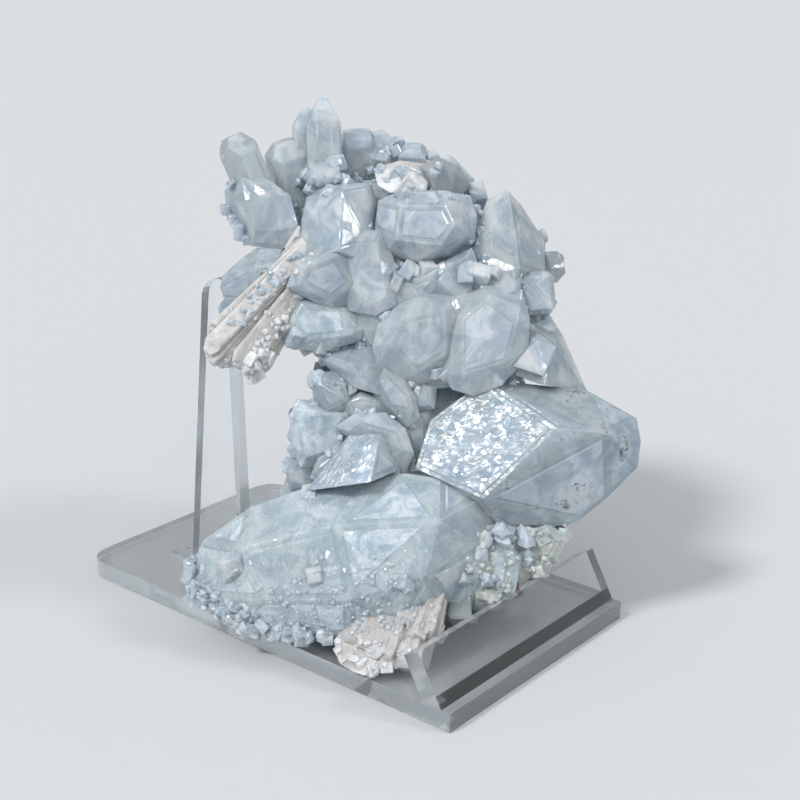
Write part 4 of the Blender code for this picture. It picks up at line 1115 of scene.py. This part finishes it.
# Finish, how many, least and greatest width, how deep a hollow must be, and the outline.
DRUSE = {
    "giant_front": ("seed", 300, 0.5, 1.3, ANYWHERE, [
        (-40, -35), (-30, -33), (-13, -31), (0, -31), (4, -44), (-10, -47.6), (-22, -48),
        (-36, -45)]),
    "giant_rim": ("seed", 150, 0.8, 2.2, ANYWHERE, [
        (-42, -36), (-38, -37), (-26, -44), (-12, -46), (-12, -48.4), (-28, -48.6),
        (-40, -43)]),
    "giant_end": ("seed", 24, 0.8, 1.8, ANYWHERE, [
        (-42, -30), (-39, -30), (-39, -42), (-42, -42)]),
    "foot": ("stilbite", 70, 0.6, 1.4, ANYWHERE, [
        (-13, -47), (-10, -54), (-6, -55), (0, -52), (9, -43), (6, -40), (-4, -43)]),
    "right_crust": ("matrix", 90, 0.6, 1.4, ANYWHERE, [
        (14, -27), (33, -25), (32, -31), (27, -36), (17, -41), (12, -36)]),
    "right_blocks": ("seed", 20, 1.8, 3.8, ANYWHERE, [
        (13, -27), (33, -25), (32, -31), (27, -36), (17, -41), (12, -36)]),
    "arm": ("stilbite", 50, 0.5, 1.4, ANYWHERE, [
        (-17, 30), (-22, 30), (-37, 10), (-38.6, 6), (-31, 3), (-24, 11)]),
    "arm_teeth": ("stilbite", 34, 1.2, 2.6, ANYWHERE, [
        (-22, 18), (-24.5, 12), (-29, 5), (-32, 3.4), (-33, 5.4), (-27.6, 12.6), (-24, 19)]),
    "arm_back": ("seed", 44, 0.8, 2.0, ANYWHERE, [
        (-19, 31), (-24, 28.5), (-31, 20), (-35, 14), (-33, 13), (-26, 21), (-19, 27)]),
    "hollows": ("seed", 150, 0.9, 2.4, 1.0, [
        (-34, 38), (-20, 44), (0, 46), (14, 40), (28, 28), (30, 8), (24, 2), (6, 4),
        (4, -14), (-20, -18), (-22, 4), (-24, 12), (-30, 28)]),
    "ridge": ("seed", 22, 2.0, 4.2, ANYWHERE, [
        (-22, 44), (-12, 50), (-2, 52), (10, 49), (16, 42), (10, 40), (-6, 43), (-20, 40)]),
    "dusting": ("seed", 30, 0.3, 0.8, ANYWHERE, [
        (-34, 38), (-20, 46), (0, 50), (14, 42), (28, 28), (34, 6), (46, -4), (44, -16),
        (30, -26), (4, -16), (-38, -30), (-20, -18), (-22, 4), (-34, 20)]),
}
print(len(DRUSE), "patches of druse")

# %% Planting one
# The share of its width that a small crystal stands below the surface, how much it leans, and how
# far past the measured solids it may reach.
SUNK = 0.28
LEAN = 0.35
REACH_PAST = 0.3
dice = random.Random("druse")
seeds = []


def planted(pattern, place, up, size, spin, finish):
    """One copy of the pattern, size millimetres wide, standing on place."""
    mesh = pattern.data.copy()
    turn = up.to_track_quat("Z", "Y").to_matrix().to_4x4() @ Matrix.Rotation(spin, 4, "Z")
    root = place - up * SUNK * size * MM
    mesh.transform(Matrix.Translation(root) @ turn @ Matrix.Scale(size, 4))
    mesh.materials.append(finishes[finish])
    item = bpy.data.objects.new("seed", mesh)
    bpy.context.scene.collection.objects.link(item)
    return item


def fits(place, up, size):
    """Whether a small crystal that stands on place stays in the measured box."""
    top = place + up * size * MM
    low, high = cad_box
    return all(a - REACH_PAST * MM < value < b + REACH_PAST * MM
               for a, value, b in zip(low, top, high))


def grown(place, normal, least, most, finish):
    """Plant a crystal of a random kind, size and lean, if it fits, and say whether it did."""
    lean = Vector([dice.gauss(0, LEAN) for _ in range(3)])
    size = least + (most - least) * dice.random() ** 2
    up = (normal + lean).normalized()
    if not fits(place, up, size):
        return False
    pattern = patterns[dice.choice(list(patterns))]
    seeds.append(planted(pattern, place, up, size, dice.uniform(0, math.tau), finish))
    return True


# %% Plant the front
TRIES = 12
for name, (finish, count, least, most, hollow, outline) in DRUSE.items():
    spans = [(min(values), max(values)) for values in zip(*outline)]
    there = 0
    for _ in range(count * TRIES):
        if there == count:
            break
        across, rise = (dice.uniform(*span) for span in spans)
        if not inside(outline, across, rise):
            continue
        place, normal, near = met(across, rise)
        if not place:
            continue
        if hollow > ANYWHERE and hollow_at(across, rise, near) < hollow:
            continue
        there += grown(place, normal, least, most, finish)
    print(name, there, "small crystals")

# %% Plant the back
BACK_COUNT = 1000
BACK_WIDTHS = (1.2, 4.4)
# A way that looks less than this along the sight line belongs to the front.
BACKWARD = 0.25
# How far from the middle a line from the back is aimed, in millimetres, and how far off it starts,
# in metres.
AIM = 22
START = 0.2
for _ in range(BACK_COUNT):
    way = Vector([dice.gauss(0, 1) for _ in range(3)]).normalized()
    if way.dot(AHEAD) < BACKWARD:
        continue
    target = (MIDDLE + Vector([dice.uniform(-AIM, AIM) for _ in range(3)])) * MM
    place, normal, _, _ = surface.ray_cast(target + way * START, -way)
    if place:
        grown(place, normal, *BACK_WIDTHS, "seed")
print(len(seeds), "small crystals in all")

# %% Join the druse
# The druse's crevice map is one even value, at which no painted shade shows.
MID_GREY = (0.6, 0.6, 0.6, 1.0)
for pattern in patterns.values():
    bpy.data.objects.remove(pattern)
bpy.ops.object.select_all(action="DESELECT")
for item in seeds:
    item.select_set(True)
druse = seeds[0]
bpy.context.view_layer.objects.active = druse
bpy.ops.object.join()
druse.name = "druse"
bpy.ops.object.shade_smooth_by_angle(angle=SMOOTH_BELOW)
paint = druse.data.color_attributes.new("crevice", "FLOAT_COLOR", "POINT")
for point in paint.data:
    point.color = MID_GREY
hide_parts("apophyllite_cluster")
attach(druse, "root")
print("druse of", len(druse.data.polygons), "faces")

# %% [markdown]
# ## The stand
#
# The stand is clear acrylic sheet, PMMA, which bends light a little less than the crystals do. Its
# sawn edges are a little duller than its faces, and use has rubbed it in places. The measured
# solids stay as they are here. They have no separate faces for the edges, so those are told by the
# way they look, and each solid has its own rule for that.

# %% Acrylic recipe
ACRYLIC_IOR = 1.49
FACE_TINT = "#FAFCFD"
EDGE_TINT = "#F4FAFD"
# How much light goes straight through the faces, and through the edges.
FACE_CLEAR = 0.97
EDGE_CLEAR = 0.86
# How rough the faces are where they are new and where they are rubbed, and how much rougher than
# that the edges are.
NEW_ROUGH = 0.01
RUBBED_ROUGH = 0.10
EDGE_ROUGHER = 0.12
RUBBED_MM = 14.0
SHEET_LIGHT = "#B4CAD6"
SHEET_DENSITY = 2.0


def acrylic(name, is_edge):
    """Clear sheet with duller edges; is_edge makes their mask from the way a face looks."""
    material, tree, shader = new_material(name)
    place = node(tree, "ShaderNodeTexCoord").outputs["Object"]
    facing = node(tree, "ShaderNodeNewGeometry").outputs["Normal"]
    facing = node(tree, "ShaderNodeVectorMath", {0: facing}, operation="ABSOLUTE")
    facing = node(tree, "ShaderNodeSeparateXYZ", {0: facing.outputs["Vector"]}).outputs
    edge = is_edge(tree, facing)
    rubbed = node(tree, "ShaderNodeTexNoise", {
        "Vector": place, "Scale": per_mm(RUBBED_MM), "Detail": 6.0, "Roughness": 0.7})
    rough = node(tree, "ShaderNodeMapRange", {
        0: rubbed.outputs["Fac"], 1: 0.45, 2: 0.75, 3: NEW_ROUGH, 4: RUBBED_ROUGH})
    gloss = node(tree, "ShaderNodeMath", {
        0: edge, 1: EDGE_ROUGHER, 2: rough.outputs["Result"]}, operation="MULTIPLY_ADD")
    tint = node(tree, "ShaderNodeMix", {0: edge, 6: FACE_TINT, 7: EDGE_TINT}, data_type="RGBA")
    through = node(tree, "ShaderNodeMapRange", {0: edge, 3: FACE_CLEAR, 4: EDGE_CLEAR})
    fill(tree, shader, {
        "Base Color": tint.outputs[2], "Roughness": gloss.outputs["Value"],
        "Transmission Weight": through.outputs["Result"], "IOR": ACRYLIC_IOR})
    deepen(tree, SHEET_LIGHT, SHEET_DENSITY)
    return material


# %% Which faces are edges
# A face is upright when its normal rises less than this.
UPRIGHT = 0.1
# A face is one of the fin's broad sides when its normal runs along X at least this much.
BROAD_SIDE = 0.5
# How much the normal of the leaning lip's top edge rises, and how far off it may be.
LIP_TOP = 0.88
LIP_TOP_WITHIN = 0.06


def base_edge(tree, facing):
    """The sheet's upright edges, and the top edge of its leaning lip."""
    upright = node(tree, "ShaderNodeMath", {0: facing["Z"], 1: UPRIGHT}, operation="LESS_THAN")
    lip_top = node(tree, "ShaderNodeMath", {0: facing["Z"], 1: LIP_TOP, 2: LIP_TOP_WITHIN},
                   operation="COMPARE")
    return node(tree, "ShaderNodeMath", {
        0: upright.outputs["Value"], 1: lip_top.outputs["Value"]},
        operation="MAXIMUM").outputs["Value"]


def upright_edge(tree, facing):
    """All but the fin's two broad sides."""
    return node(tree, "ShaderNodeMath", {0: facing["X"], 1: BROAD_SIDE},
                operation="LESS_THAN").outputs["Value"]


for name, is_edge in (("stand_base", base_edge), ("stand_upright", upright_edge)):
    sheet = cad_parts[name]
    sheet.data.materials.clear()
    sheet.data.materials.append(acrylic("acrylic_" + name, is_edge))
    print(name, "is clear acrylic")

# %% [markdown]
# ## Studio
#
# A pale floor and three soft suns. The key light stands to the upper left of the camera, where the
# etched face of the right-hand crystal mirrors it. The sky is brighter overhead than at the
# horizon, so that glassy faces mirror a different tone as they turn.

# %% Floor
FLOOR_SIZE = 9.0
FLOOR_GAP = 0.2
bpy.ops.mesh.primitive_plane_add(size=FLOOR_SIZE, location=(0, 0, -FLOOR_GAP * MM))
floor = bpy.context.active_object
floor.name = "floor"
floor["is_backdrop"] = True
paper, tree, shader = new_material("matt_paper")
fill(tree, shader, {"Base Color": "#C6C8CA", "Roughness": 0.8})
floor.data.materials.append(paper)

# %% Lights and sky


def sunlight(name, toward, strength, spread):
    """A soft lamp far away along toward, given as (across, rise, to the camera)."""
    across, rise, near = toward
    way = (ACROSS * across + RISE * rise - AHEAD * near).normalized()
    light = bpy.data.objects.new(name, bpy.data.lights.new(name, "SUN"))
    bpy.context.scene.collection.objects.link(light)
    light.data.energy = strength
    light.data.angle = math.radians(spread)
    light.rotation_euler = way.to_track_quat("Z", "Y").to_euler()


sunlight("key", (-0.52, 0.54, 0.62), 2.0, 12)
sunlight("side", (0.75, 0.55, 0.35), 0.7, 12)
sunlight("front", (0.1, 0.25, 1.0), 0.4, 50)
print("lights:", [item.name for item in bpy.data.lights])
world = bpy.data.worlds.new("studio")
bpy.context.scene.world = world
world.use_nodes = True
sky = world.node_tree
way = node(sky, "ShaderNodeTexCoord").outputs["Generated"]
height = node(sky, "ShaderNodeSeparateXYZ", {0: way}).outputs["Z"]
strength = node(sky, "ShaderNodeMapRange", {0: height, 2: 0.9, 3: 0.44, 4: 0.80})
fill(sky, sky.nodes["Background"], {
    "Color": "#E9EDF0", "Strength": strength.outputs["Result"]})
bpy.context.scene.view_settings.view_transform = "Standard"
# Light turns many corners inside clear crystal and acrylic before it comes out again.
bounces = bpy.context.scene.cycles
bounces.max_bounces = 14
bounces.glossy_bounces = 8
bounces.transmission_bounces = 12

# %% [markdown]
# ## Measure and finish
#
# The finished model must fill the same box as the measured solids.

# %% Compare the boxes
boxes = {"cad": cad_box, "model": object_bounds()}
{key: [list(corner) for corner in box] for key, box in boxes.items()}
for key, (low, high) in boxes.items():
    print(key, [round(value / MM, 1) for value in high - low], "mm")
